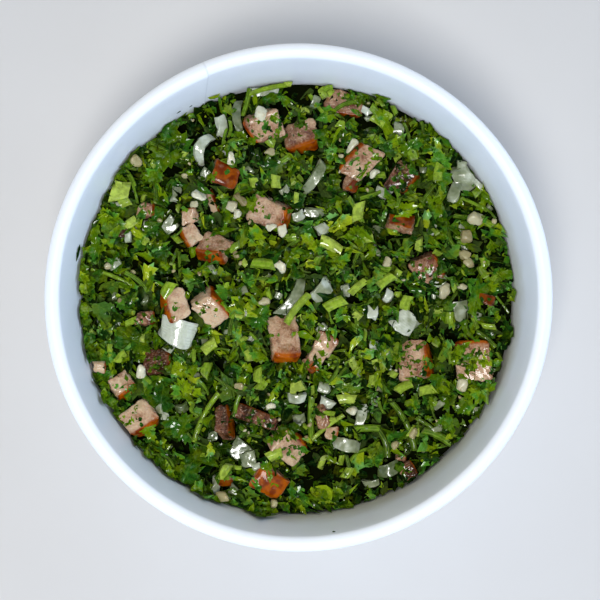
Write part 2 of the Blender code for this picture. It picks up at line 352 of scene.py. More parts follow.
def onion_look():
    """Translucent white onion, clouded with grey-green and faintly striped along its length."""
    look = material_look("onion")
    stripes = look.stripes(look.part(look.attribute("place", "Vector"), "Y"), 30.0)
    cloud = (look.noise(3.2, 2) - 0.5) * 1.5
    white = look.colours(look.attribute("tone") + cloud, ONION_TONES)
    lines = look.ramp(stripes, 0.3, 1) * look.patches(2.2, 1, 0.4, 0.62, 0, 0.26)
    look.set(Base_Color=look.mix(lines, white, ONION_LINE), Roughness=0.3)
    look.set(Coat_Weight=0.8, Coat_Roughness=0.06)
    look.let_in(0.4, (1.0, 1.1, 0.8), 1.2)
    look.bump(look.noise(1.5, 2) + stripes * 0.02, 0.3, 0.7)
    return look.owner


def bulgur_look():
    """Cooked cracked wheat: off-white and matt, with tan creases."""
    look = material_look("bulgur")
    grain = look.colours(look.attribute("tone"), BULGUR_TONES)
    grain = look.mix(look.patches(1.1, 2, 0.55, 0.7, 0, 0.45), grain, BULGUR_CREASE)
    look.set(Base_Color=grain, Roughness=0.42, Coat_Weight=0.3, Coat_Roughness=0.15)
    look.let_in(0.3, (1.0, 0.9, 0.6), 0.8)
    look.bump(look.noise(0.5, 3), 0.15, 0.7)
    return look.owner


def shaded_core_look():
    """What shows in the gaps: herb mass painted near black, as painted shade deep in the salad."""
    look = material_look("herb_mass")
    dark = look.mix(look.noise(3, 3), CORE_SHADE_GREEN, CORE_SHADE_BROWN)
    look.set(Base_Color=dark, Roughness=0.9, Specular_IOR_Level=0.02)
    look.bump(look.noise(1.2, 4, 0.6), 0.6)
    return look.owner


def paper_look():
    """White coated board: satin, faintly fibrous, and darkened to olive above the salad, most of all
    on one side, partly as an oil stain and partly as painted shade."""
    look = material_look("white_board")
    place = look.position()
    level = look.part(place, "Z") + (look.noise(7, 4, 0.6) - 0.5) * (6 * MM)
    share = look.ramp(look.toward(place, STAIN_AND_SHADE_SIDE), -25 * MM, 45 * MM, 0.1, 0.5)
    # An olive band above the salad: partly an oil stain, partly painted shade, stronger on one side.
    stain_and_shade = look.ramp(level, HEAP_EDGE - 1 * MM, HEAP_EDGE + 10 * MM, 1, 0) * share
    # Bluish white: partly its own colour, partly painted cool light.
    white = look.mix(look.noise(14, 2), BOARD_WHITE_COOL_LIT, BOARD_BRIGHT_COOL_LIT)
    white = look.mix(look.patches(1.5, 1, 0.79, 0.83, 0, 0.12), white, BOARD_SPECK)
    # A faint darker line at the seam's step: painted shade of the step.
    white = look.mix(look.attribute("seam") * 0.25, white, BOARD_SEAM_SHADE)
    look.set(Base_Color=look.mix(stain_and_shade * look.attribute("inside"), white, OIL_STAIN_AND_SHADE))
    look.set(Roughness=look.patches(5, 2, 0.3, 0.7, 0.34, 0.46))
    look.bump(look.noise(0.35, 3, 0.6) + look.noise(6) * 1.5, 0.05, 0.5)
    return look.owner


def floor_look():
    look = material_look("pale_floor")
    look.set(Base_Color=look.mix(look.noise(40, 3), FLOOR_PALE, FLOOR_BRIGHT), Roughness=0.7)
    return look.owner


# Solids as points and triangles.  Each is made round its own origin, lying in XY, with a place
# for each of its points: X and Y along and across it, and Z the share of its other look, such
# as a leaf's underside, a stem's cut end or a tomato's skin.
Solid = namedtuple("Solid", "points faces places")


def ring_faces(corners, rings):
    """Triangles of a sheet of rings of points, the outline first, round a middle point."""
    faces = []
    for ring in range(rings):
        for i in range(corners):
            a = ring * corners + i
            b = ring * corners + (i + 1) % corners
            if ring < rings - 1:
                faces += [(a, b, b + corners), (a, b + corners, a + corners)]
            else:
                faces.append((a, b, rings * corners))
    return np.array(faces)


# Sheets' triangles, kept for the next sheet of the same number of corners and rings
FACES = {}
LOBES = 3
# How little a knife may face a corner of a leaf and still cut it
LEAST_FACING = 0.05
LEAF_THICKNESS = 0.28
# How thin its edge is, as a share of that
LEAF_EDGE = 0.45
# How far a leaf of curl 1 folds, bows, twists, pleats and ripples, and bends to a side
FOLD, BOW, TWIST, PLEAT, RIPPLE = 0.4, 0.45, 0.7, 0.07, 0.05
SIDE_BEND = 0.24


def sheet_faces(corners, rings):
    """Triangles of a thin solid: the sheet, its underside and the edge between them."""
    if (corners, rings) not in FACES:
        top = ring_faces(corners, rings)
        below = top[:, ::-1] + rings * corners + 1
        i = np.arange(corners)
        j = (i + 1) % corners
        low = rings * corners + 1
        side = np.concatenate([np.stack([i, i + low, j + low], 1), np.stack([i, j + low, j], 1)])
        FACES[corners, rings] = np.concatenate([top, below, side])
    return FACES[corners, rings]


def any_turn():
    return rng.uniform(0, math.tau)


def outline(corners, length, width, lobes, teeth, cuts):
    """Radii of a leaf's outline at even angles: an oval with lobes and teeth, cut by knives."""
    turn = (np.arange(corners) + rng.uniform(-0.3, 0.3, corners)) * math.tau / corners
    radius = 1 / np.hypot(np.cos(turn) * 2 / length, np.sin(turn) * 2 / width)
    radius *= 1 + lobes * np.cos(LOBES * turn)
    notches = np.arange(corners) % 2
    radius *= 1 - teeth * notches * rng.uniform(0.5, 1.2, corners)
    for _ in range(cuts):
        facing = np.cos(turn - any_turn())
        knife = rng.uniform(0.25, 0.8) * min(length, width) / 2
        cut = np.minimum(radius, knife / np.maximum(facing, LEAST_FACING))
        radius = np.where(facing > LEAST_FACING, cut, radius)
    return turn, radius


def leaf(length, width, corners=20, rings=3, lobes=0.2, teeth=0.3, cuts=1, curl=1.0):
    """A piece of leaf: a thin folded and curled sheet with a closed underside.  Sizes in mm."""
    turn, radius = outline(corners, length, width, lobes, teeth, cuts)
    shares = np.linspace(1, 0, rings + 1)[:-1]
    x = np.append(np.outer(shares, radius * np.cos(turn)).ravel(), 0)
    y = np.append(np.outer(shares, radius * np.sin(turn)).ravel(), 0)
    around = np.append(np.tile(turn, rings), 0)
    reach = np.hypot(x * 2 / length, y * 2 / width)
    fold, bow, twist, pleat = rng.normal(0, 1, 4) * curl
    z = FOLD * fold * np.abs(y) + BOW * bow * x * x / length + TWIST * twist * x * y / length
    z += PLEAT * pleat * width * np.cos(LOBES * around) * reach
    ripples = np.sin(rng.integers(4, 7) * around + any_turn())
    z += RIPPLE * width * curl * ripples * reach**2
    y = y + rng.normal(0, SIDE_BEND) * curl * x * x / length
    edge = np.minimum(1, (1 - np.repeat(shares, corners)) * 2 + LEAF_EDGE)
    drop = np.append(edge, 1) * LEAF_THICKNESS
    top = np.stack([x, y, z], 1)
    below = np.stack([x, y, z - drop], 1)
    u, v = x * 2 / length, y * 2 / width
    places = np.concatenate([np.stack([u, v, 0 * u], 1), np.stack([u, v, 0 * u + 1], 1)])
    return Solid(np.concatenate([top, below]) * MM, sheet_faces(corners, rings), places)


def tube(length, radius, bend, sides, spans, flat=1.0):
    """A cut stem, bent sideways, with flat cut ends.  Sizes in mm."""
    step = np.linspace(-0.5, 0.5, spans + 1)
    turn = np.arange(sides) * math.tau / sides
    rings = []
    for share in step:
        size = radius * rng.uniform(0.94, 1.06)
        ring = np.stack([0 * turn + share * length, size * np.cos(turn), size * flat * np.sin(turn)], 1)
        ring[:, 1] += bend * (1 - (2 * share) ** 2)
        rings.append(ring)
    rings[0][:, 0] += rng.uniform(-0.6, 0.6) * rings[0][:, 1]
    rings[-1][:, 0] += rng.uniform(-0.6, 0.6) * rings[-1][:, 1]
    caps = [rings[0].mean(0, keepdims=True), rings[-1].mean(0, keepdims=True)]
    body = np.concatenate(rings)
    points = np.concatenate([body, rings[0], rings[-1], *caps])
    faces = []
    first, last = len(body), len(body) + sides
    for i in range(sides):
        j = (i + 1) % sides
        for ring in range(spans):
            a, b = ring * sides, (ring + 1) * sides
            faces += [(a + i, a + j, b + j), (a + i, b + j, b + i)]
        faces += [(first + j, first + i, last + sides), (last + i, last + j, last + sides + 1)]
    places = np.zeros((len(points), 3))
    places[:, 0] = points[:, 0] / length
    places[: len(body), 1] = np.tile(turn / math.tau, spans + 1)
    places[len(body):, 2] = 1
    return Solid(points * MM, np.array(faces), places)


# Cubes' surfaces, kept for the next block ruled at the same lines
BLOCKS = {}


def block_grid(lines):
    """The surface of a cube from -1 to 1, ruled at the given lines, as points and triangles."""
    if lines not in BLOCKS:
        n = len(lines)
        u, v = (a.ravel() for a in np.meshgrid(lines, lines, indexing="ij"))
        i, j = (a.ravel() for a in np.meshgrid(np.arange(n - 1), np.arange(n - 1), indexing="ij"))
        a, b, c, d = i * n + j, (i + 1) * n + j, (i + 1) * n + j + 1, i * n + j + 1
        square = np.concatenate([np.stack([a, b, c], 1), np.stack([a, c, d], 1)])
        points, faces = [], []
        for axis in range(3):
            for side in (-1, 1):
                spots = np.zeros((n * n, 3))
                spots[:, axis] = side
                spots[:, (axis + 1) % 3] = u
                spots[:, (axis + 2) % 3] = v
                faces.append((square if side > 0 else square[:, ::-1]) + len(points) * n * n)
                points.append(spots)
        points = np.round(np.concatenate(points), 6)
        points, index = np.unique(points, axis=0, return_inverse=True)
        BLOCKS[lines] = points, index.reshape(-1)[np.concatenate(faces)]
    return BLOCKS[lines]


# Where a block's surface is ruled, from fine to coarse
FINE = (-1, -0.95, -0.84, -0.6, -0.36, -0.12, 0.12, 0.36, 0.6, 0.84, 0.95, 1)
MEDIUM = (-1, -0.75, -0.3, 0.3, 0.75, 1)
COARSE = (-1, -0.6, 0.6, 1)
# Where the skin of a block begins, as a share of the way out to its +X side, and is complete
SKIN_START = 0.8
SKIN_SPAN = 0.13


def block(size, rounding, jitter, lines=FINE, rough=0.0, bulge=0.0, bow=0.0, pinch=0.0, curve=0.0):
    """A knife-cut block with rounded edges and corners pushed about.  Its +X side can bulge, as
    a piece of fruit skin does.  It can bow down or curve sideways along X, with pinched ends.
    Sizes in mm."""
    spots, faces = block_grid(lines)
    inner = np.clip(spots, -(1 - rounding), 1 - rounding)
    out = spots - inner
    far = np.maximum(np.linalg.norm(out, axis=1, keepdims=True), 1e-6)
    shape = inner + out / far * rounding
    skin = np.clip((spots[:, 0] - SKIN_START) / SKIN_SPAN, 0, 1)
    shape[:, 0] += bulge * skin * (1 - 0.5 * spots[:, 1] ** 2 - 0.5 * spots[:, 2] ** 2)
    shape[:, 1] *= 1 - pinch * shape[:, 0] ** 2
    shift = rng.uniform(-jitter, jitter, (2, 2, 2, 3))
    weight = [np.stack([(1 - shape[:, k]) / 2, (1 + shape[:, k]) / 2]) for k in range(3)]
    warp = np.einsum("in,jn,kn,ijkc->nc", *weight, shift)
    points = (shape + warp) * np.array(size) / 2
    waves = rng.uniform(0.5, 1.6, (4, 3)) * rng.choice([-1, 1], (4, 3))
    starts = rng.uniform(0, math.tau, 4)
    lumps = np.sin(points @ waves.T * 1.6 + starts).sum(1)
    points += out / far * (lumps * rough * (1 - 0.8 * skin))[:, None]
    points[:, 1] += curve * (points[:, 0] * 2 / size[0]) ** 2
    points[:, 2] -= bow * points[:, 0] ** 2 / size[0]
    places = np.stack([spots[:, 0], spots[:, 1], skin if bulge else 0 * skin], 1)
    return Solid(points * MM, faces, places)


def moved(solid, x, y):
    return solid._replace(points=solid.points + np.array([x, y, 0]))


def polar(radius, turn):
    return radius * math.cos(turn), radius * math.sin(turn)


def turned(solid, turn=0.0, lean=0.0, roll=0.0):
    """The solid rolled about X, leaned about Y and turned about Z, in radians."""
    cr, sr = math.cos(roll), math.sin(roll)
    cl, sl = math.cos(lean), math.sin(lean)
    ct, st = math.cos(turn), math.sin(turn)
    about_x = np.array([[1, 0, 0], [0, cr, -sr], [0, sr, cr]])
    about_y = np.array([[cl, 0, sl], [0, 1, 0], [-sl, 0, cl]])
    about_z = np.array([[ct, -st, 0], [st, ct, 0], [0, 0, 1]])
    return solid._replace(points=solid.points @ (about_z @ about_y @ about_x).T)


# The camera, and where the photo's middle and a pixel's width fall on the salad's level
CAMERA_HEIGHT = 400 * MM
PHOTO_MIDDLE = (298.6, 297.6)
PIXEL = 0.3076 * MM
CAMERA_TOP = ROLL_CENTRE[1] + CAMERA_HEIGHT


def spot(at):
    """The place on the salad that shows at a pixel of the photo."""
    return (at[0] - PHOTO_MIDDLE[0]) * PIXEL, (PHOTO_MIDDLE[1] - at[1]) * PIXEL


# How many small pieces lie between the landmarks
ONION_BITS = 60
LOOSE_GRAINS = 28
LOOSE_STEMS = 110
LOOSE_CUTS = 90


def rows(kind, *table):
    return [kind(*row) for row in table]


# A landmark lies at the pixel where the photo shows it.  It has three sizes, mostly in mm, the
# turn of its length in degrees and a tone.  Onion's ends also curve sideways, by so many mm.
Mark = namedtuple("Mark", "at size turn tone curve", defaults=(0.4,))


# Evenly spread places on a triangle, as shares of its corners
STEPS = 4
COUNTS = [(i, j, STEPS - i - j) for i in range(STEPS + 1) for j in range(STEPS + 1 - i)]
PATTERN = np.array(COUNTS) / STEPS


# Hollows between the heaps of leaves, where it is dark: pixel, two sizes in mm, and turn
Hollow = namedtuple("Hollow", "at size turn")
HOLLOWS = rows(
    Hollow,
    ((186, 130), (12, 5), 25), ((170, 172), (7, 7), 0), ((268, 168), (12, 4), -10),
    ((252, 147), (6, 4), -15), ((300, 92), (9, 4), 0), ((317, 458), (6, 4), 0), ((305, 485), (9, 5), 0),
    ((208, 469), (5, 4), 0), ((180, 441), (7, 4), 0), ((402, 401), (6, 5), 90), ((437, 413), (6, 3), 0),
    ((386, 421), (5, 3), 90), ((462, 423), (5, 5), 0), ((387, 481), (7, 3), 0), ((105, 304), (6, 7), 0),
    ((158, 355), (6, 4), 0), ((232, 268), (9, 3), -10), ((345, 330), (7, 4), 60),
    ((440, 330), (7, 4), 30), ((325, 477), (11, 6), 0), ((366, 482), (10, 5), 0),
    ((216, 440), (6, 4), 0), ((140, 265), (9, 4), 10), ((185, 262), (8, 4), 0), ((100, 285), (7, 5), 0),
    ((275, 108), (6, 3), 0), ((482, 240), (4, 8), 0), ((311, 152), (5, 5), 0),
    ((183, 456), (7, 4), -50), ((380, 240), (9, 3), 0), ((225, 190), (6, 3), 40),
    ((412, 108), (9, 4), -35), ((132, 450), (7, 4), -50),
)
HOLLOW_DEPTH = 4.8 * MM
# How far out a hollow ends, in half sizes
HOLLOW_END = 1.6
# The smaller hollows between them: how high the swells are where one starts, how much higher
# where it is deepest, and its share of the depth
DIP_START = 0.85
DIP_SPAN = 0.9
DIP_SHARE = 0.85


def hollows(x, y):
    """How much lower than the even heap it is meant to stay at each place."""
    deep = 0 * x
    for hollow in HOLLOWS:
        cx, cy = spot(hollow.at)
        turn = math.radians(hollow.turn)
        along = (x - cx) * math.cos(turn) + (y - cy) * math.sin(turn)
        across = (y - cy) * math.cos(turn) - (x - cx) * math.sin(turn)
        far = np.hypot(along * 2 / hollow.size[0], across * 2 / hollow.size[1]) / MM
        deep = np.maximum(deep, np.clip(HOLLOW_END - far, 0, 1))
    swell = wave(x, 2.3, 1.3 * wave(y, 3.1)) + wave(y, 2.0, 1.7 * wave(x, 2.7, 2))
    swell = swell + wave(x + y, 1.9, 1)
    deep = np.maximum(deep, np.clip((swell - DIP_START) / DIP_SPAN, 0, 1) * DIP_SHARE)
    return deep * HOLLOW_DEPTH


# How far over or under its even height the salad lies along the wall, in mm, at even turns from
# the right of the photo, and the turns between which it is banked up
EDGE_LEVELS = (
    -2.0, -1.1, -0.4, -1.3, -2.7, -2.1, -2.0, 1.8, 3.7, 2.6, 3.0, 3.8, 3.2, 1.2, -1.4, -2.6, -2.2, -1.4,
)
BANK = (math.radians(132), math.radians(264))


def edge_rise(x, y):
    share = np.minimum(1, np.hypot(x, y) / inner_radius(HEAP_EDGE))
    turns = np.arange(len(EDGE_LEVELS)) * math.tau / len(EDGE_LEVELS)
    rise = np.interp(np.arctan2(y, x), turns, EDGE_LEVELS, period=math.tau)
    return rise * MM * share**10


class Heap:
    """The salad's top as a grid of heights, which rises as pieces are laid on it."""

    CELL = 0.3 * MM
    HALF = 72 * MM

    def __init__(self, depth):
        line = np.arange(-self.HALF, self.HALF, self.CELL)
        x, y = np.meshgrid(line, line, indexing="ij")
        self.goal = heap_height(x, y)
        self.top = self.goal - depth
        self.goal += edge_rise(x, y) - hollows(x, y)
        self.kept = np.zeros(x.shape, bool)

    def cell(self, x, y):
        last = len(self.top) - 1
        i = ((x + self.HALF) / self.CELL).astype(int)
        j = ((y + self.HALF) / self.CELL).astype(int)
        return np.clip(i, 0, last), np.clip(j, 0, last)

    def height(self, x, y):
        return self.top[self.cell(x, y)]

    def want(self, x, y):
        """How far the heap there is below its goal."""
        at = self.cell(x, y)
        return self.goal[at] - self.top[at]

    def stamp(self, solid, keep=False):
        """Raises the grid to a laid piece, and can keep its place clear of later ones."""
        spots = np.einsum("kb,fbc->fkc", PATTERN, solid.points[solid.faces]).reshape(-1, 3)
        at = self.cell(spots[:, 0], spots[:, 1])
        np.maximum.at(self.top, at, spots[:, 2])
        if keep:
            self.kept[at] = True

    def covers_kept(self, solid):
        """The share of the piece that would lie over a kept place."""
        return self.kept[self.cell(solid.points[:, 0], solid.points[:, 1])].mean()


# How far a soft piece rises for each millimetre that the wall pushes it in
CLIMB = 0.9


def inside_wall(points, soft, gap=GAP):
    """Points moved in from the wall: a soft piece bends up along it, a stiff one moves."""
    for _ in range(2):
        radius = np.hypot(points[:, 0], points[:, 1])
        limit = inner_radius(points[:, 2]) - gap
        over = np.maximum(radius - limit, 0)
        if over.max() <= 0:
            break
        points = points.copy()
        if soft:
            points[:, :2] *= (1 - over / np.maximum(radius, MM))[:, None]
            points[:, 2] += over * CLIMB
        else:
            worst = over.argmax()
            points[:, :2] -= points[worst, :2] / radius[worst] * over[worst]
    return points


def lay(heap, pieces, solid, x, y, tone, press=0.8, droop=0.0, keep=False, level=None):
    """Sets a piece down at (x, y).  `press` is the share of its points that rest above the
    ground, `droop` how far a limp piece sinks onto what is below, and `level` a fixed height
    over the heap's goal for its middle."""
    points = solid.points + np.array([x, y, 0])
    points = inside_wall(points + np.array([0, 0, HEAP_EDGE]), droop > 0)
    ground = heap.height(points[:, 0], points[:, 1])
    if level is None:
        lift = np.quantile(ground - points[:, 2], press)
    else:
        at = heap.cell(np.array([x]), np.array([y]))
        lift = heap.goal[at][0] + level - points[:, 2].mean()
    points[:, 2] += lift
    if droop:
        hang = points[:, 2] - ground
        points[:, 2] -= np.clip(hang, 0, None) * droop
        points[:, 2] += np.clip(-hang, 0, None) * droop
    points = inside_wall(points, droop > 0)
    placed = solid._replace(points=points)
    heap.stamp(placed, keep)
    pieces.add(placed, tone)


def set_down(heap, pieces, mark, solid, lean=0.0, roll=0.0, **how):
    """Lays a landmark where the photo shows it, turned as it is there."""
    solid = turned(solid, math.radians(mark.turn), lean, roll)
    lay(heap, pieces, solid, *spot(mark.at), mark.tone, keep=True, **how)


def scatter(heap, pieces, solid, tries, tones, press):
    """Lays a piece at a random place, with a random tone out of a range."""
    x, y = free_place(heap, solid, tries)
    lay(heap, pieces, solid, x, y, rng.uniform(*tones), press=press)


class Pieces:
    """Many small solids, gathered into one mesh."""

    def __init__(self, name):
        self.name = name
        self.solids = []
        self.tones = []

    def add(self, solid, tone):
        self.solids.append(solid)
        self.tones.append(np.full(len(solid.points), tone))

    def build(self, material):
        counts = [len(solid.points) for solid in self.solids]
        starts = np.concatenate([[0], np.cumsum(counts)[:-1]])
        faces = np.concatenate([s.faces + at for s, at in zip(self.solids, starts)])
        points = np.concatenate([s.points for s in self.solids])
        obj = mesh_object(self.name, points, faces, material)
        add_attribute(obj, "tone", np.concatenate(self.tones))
        add_attribute(obj, "place", np.concatenate([s.places for s in self.solids]))
        return obj


def mesh_object(name, points, faces, material, sharp=50):
    """An object of triangles, smooth but for edges sharper than so many degrees."""
    mesh = bpy.data.meshes.new(name)
    mesh.vertices.add(len(points))
    mesh.vertices.foreach_set("co", points.astype(np.float32).ravel())
    mesh.loops.add(faces.size)
    mesh.loops.foreach_set("vertex_index", faces.astype(np.int32).ravel())
    mesh.polygons.add(len(faces))
    mesh.polygons.foreach_set("loop_start", np.arange(len(faces), dtype=np.int32) * faces.shape[1])
    mesh.update(calc_edges=True)
    mesh.validate()
    mesh.materials.append(material)
    mesh.shade_smooth()
    mesh.set_sharp_from_angle(angle=math.radians(sharp))
    obj = bpy.data.objects.new(name, mesh)
    bpy.context.scene.collection.objects.link(obj)
    return obj


def add_attribute(obj, name, values):
    """Gives each of the object's points a value, or three, that its material reads."""
    kind, field = ("FLOAT", "value") if values.ndim == 1 else ("FLOAT_VECTOR", "vector")
    made = obj.data.attributes.new(name, kind, "POINT")
    made.data.foreach_set(field, values.astype(np.float32).ravel())


# The bowl
SEAM_TURN = math.radians(112)
SEAM_SLANT = math.radians(2.8) / (18 * MM)
SEAM_STEP = 0.3 * MM
SEAM_FADE = math.radians(16)
# Turns from the seam where the mesh is cut finer, and where its edge begins and ends
SEAM_CUTS = (-0.007, -0.0015, 0.0005, 0.006)
SEAM_EDGE = (-0.002, 0.001)
# How far the rim rises and falls as it goes round, in so many waves
RIM_WAVE = 0.06 * MM
RIM_WAVES = 5
# The bends from the floor to the wall and at the foot's fold
FLOOR_BEND = 1.2 * MM
FOOT_BEND = 0.3 * MM
WALL_SPANS = 16
BOWL_TURNS = 288
# How many of the profile's points lie inside the bowl
INSIDE_POINTS = 22


def arc(radius, start, end, facets):
    """Points along an arc round the roll's centre, both ends included."""
    turn = np.linspace(start, end, facets + 1)
    across, up = ROLL_CENTRE
    return np.stack([across + radius * np.cos(turn), up + radius * np.sin(turn)], 1)


def run(start, end, spans):
    """Points from start towards end, without the end."""
    share = np.arange(spans)[:, None] / spans
    return np.array(start) * (1 - share) + np.array(end) * share


def bowl_profile():
    """(radius, height) from the middle of the floor, up inside, over the roll and down."""
    floor = BASE_RECESS + BOARD
    tangent = math.pi - SLOPE
    outer = arc(ROLL_RADIUS, tangent, ROLL_TUCK, 30)
    inner = arc(ROLL_RADIUS - BOARD, ROLL_TUCK, tangent, 20)
    wall_foot = (inner_radius(floor + 1 * MM), floor + 1 * MM)
    floor_edge = (inner_radius(floor) - FLOOR_BEND, floor)
    foot_inside = FOOT_RADIUS - FOOT_WIDTH
    base_edge = (outer_radius(BASE_RECESS) - FOOT_WIDTH, BASE_RECESS)
    parts = [
        run((0, floor), floor_edge, 4),
        run(floor_edge, wall_foot, 2),
        run(wall_foot, outer[0], WALL_SPANS),
        outer,
        inner,
        run(inner[-1], (FOOT_RADIUS, FOOT_BEND), WALL_SPANS)[1:],
        [(FOOT_RADIUS, FOOT_BEND), (FOOT_RADIUS - FOOT_BEND, 0)],
        [(foot_inside + FOOT_BEND, 0), (foot_inside, FOOT_BEND)],
        run((foot_inside, 2 * FOOT_BEND), base_edge, 4),
        run(base_edge, (0, BASE_RECESS), 4),
        [(0, BASE_RECESS)],
    ]
    return np.concatenate([np.array(part) for part in parts])


def seam_offset(turn):
    """How far the board is pushed in at the overlap: a sharp step, then a slow fade."""
    past = (turn - SEAM_TURN) % math.tau
    return np.where(past < SEAM_FADE, 1 - past / SEAM_FADE, 0.0) * SEAM_STEP


def bowl_points(profile, turns):
    """The profile carried round at each turn, then its two ends, which lie on the axis."""
    radius = profile[None, 1:-1, 0] + 0 * turns[:, None]
    height = profile[None, 1:-1, 1] + 0 * turns[:, None]
    on_wall = (height > BASE_RECESS + 2 * MM) & (radius < ROLL_CENTRE[0] + ROLL_RADIUS * 0.3)
    radius = radius - np.where(on_wall, seam_offset(turns)[:, None], 0)
    height = height + RIM_WAVE * np.sin(RIM_WAVES * turns + 1)[:, None] * (height > ROLL_CENTRE[1])
    slanted = turns[:, None] + (BOWL_HEIGHT - height) * SEAM_SLANT
    ring = np.stack([radius * np.cos(slanted), radius * np.sin(slanted), height], 2)
    ends = np.array([(0, 0, profile[0, 1]), (0, 0, profile[-1, 1])])
    return np.concatenate([ring.reshape(-1, 3), ends])


def bowl_faces(n, m):
    """Triangles between n turns of m points each, and from them to the two ends."""
    i = np.arange(n)[:, None]
    k = (i + 1) % n
    j = np.arange(m - 1)[None, :]
    quads = np.stack([i * m + j, k * m + j, k * m + j + 1, i * m + j + 1], 2).reshape(-1, 4)
    i, k = i.ravel(), k.ravel()
    low = np.stack([0 * i + n * m, k * m, i * m], 1)
    high = np.stack([0 * i + n * m + 1, i * m + m - 1, k * m + m - 1], 1)
    return np.concatenate([quads[:, [0, 1, 2]], quads[:, [0, 2, 3]], low, high])


def build_bowl():
    profile = bowl_profile()
    turns = np.linspace(0, math.tau, BOWL_TURNS, endpoint=False)
    turns = np.sort(np.append(turns, SEAM_TURN + np.array(SEAM_CUTS)))
    n, m = len(turns), len(profile) - 2
    bowl = mesh_object("paper_bowl", bowl_points(profile, turns), bowl_faces(n, m), paper_look(), 40)
    # Where the seam's painted shade line runs.
    seam_shade_line = (turns > SEAM_TURN + SEAM_EDGE[0]) & (turns < SEAM_TURN + SEAM_EDGE[1])
    add_attribute(bowl, "seam", np.append(np.repeat(seam_shade_line, m), [False, False]))
    inside = np.tile(np.arange(m) < INSIDE_POINTS, n)
    add_attribute(bowl, "inside", np.append(inside, [True, False]))
    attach(bowl, "root")
    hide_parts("bowl")


# The salad's core
CORE_DEPTH = 4.4 * MM
CORE_CLEAR = 0.8 * MM
CORE_LUMPS = 0.5 * MM
CORE_TURNS = 96
CORE_RINGS = 36


def core_top(x, y):
    """Below the laid pieces, lumpy with what is buried."""
    lumps = wave(x, 2.1) * wave(y, 2.6, 1) + wave(x + y, 1.7, 2)
    return heap_height(x, y) - CORE_DEPTH - CORE_CLEAR + lumps * CORE_LUMPS


def build_core():
    bottom = BASE_RECESS + BOARD + GAP
    turns = np.arange(CORE_TURNS) * math.tau / CORE_TURNS
    edge = inner_radius(HEAP_EDGE - CORE_DEPTH) - GAP
    shares = np.linspace(1, 0, CORE_RINGS + 1)[:-1]
    x = np.append(np.outer(shares * edge, np.cos(turns)).ravel(), 0)
    y = np.append(np.outer(shares * edge, np.sin(turns)).ravel(), 0)
    z = core_top(x, y)
    z[:CORE_TURNS] = np.minimum(z[:CORE_TURNS], HEAP_EDGE - CORE_DEPTH)
    top = np.stack([x, y, z], 1)
    low = top.copy()
    low[:, :2] *= (inner_radius(bottom) - GAP) / edge
    low[:, 2] = bottom
    faces = sheet_faces(CORE_TURNS, CORE_RINGS)
    core = mesh_object("herb_core", np.concatenate([top, low]), faces, shaded_core_look())
    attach(core, "root")
    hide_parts("salad")


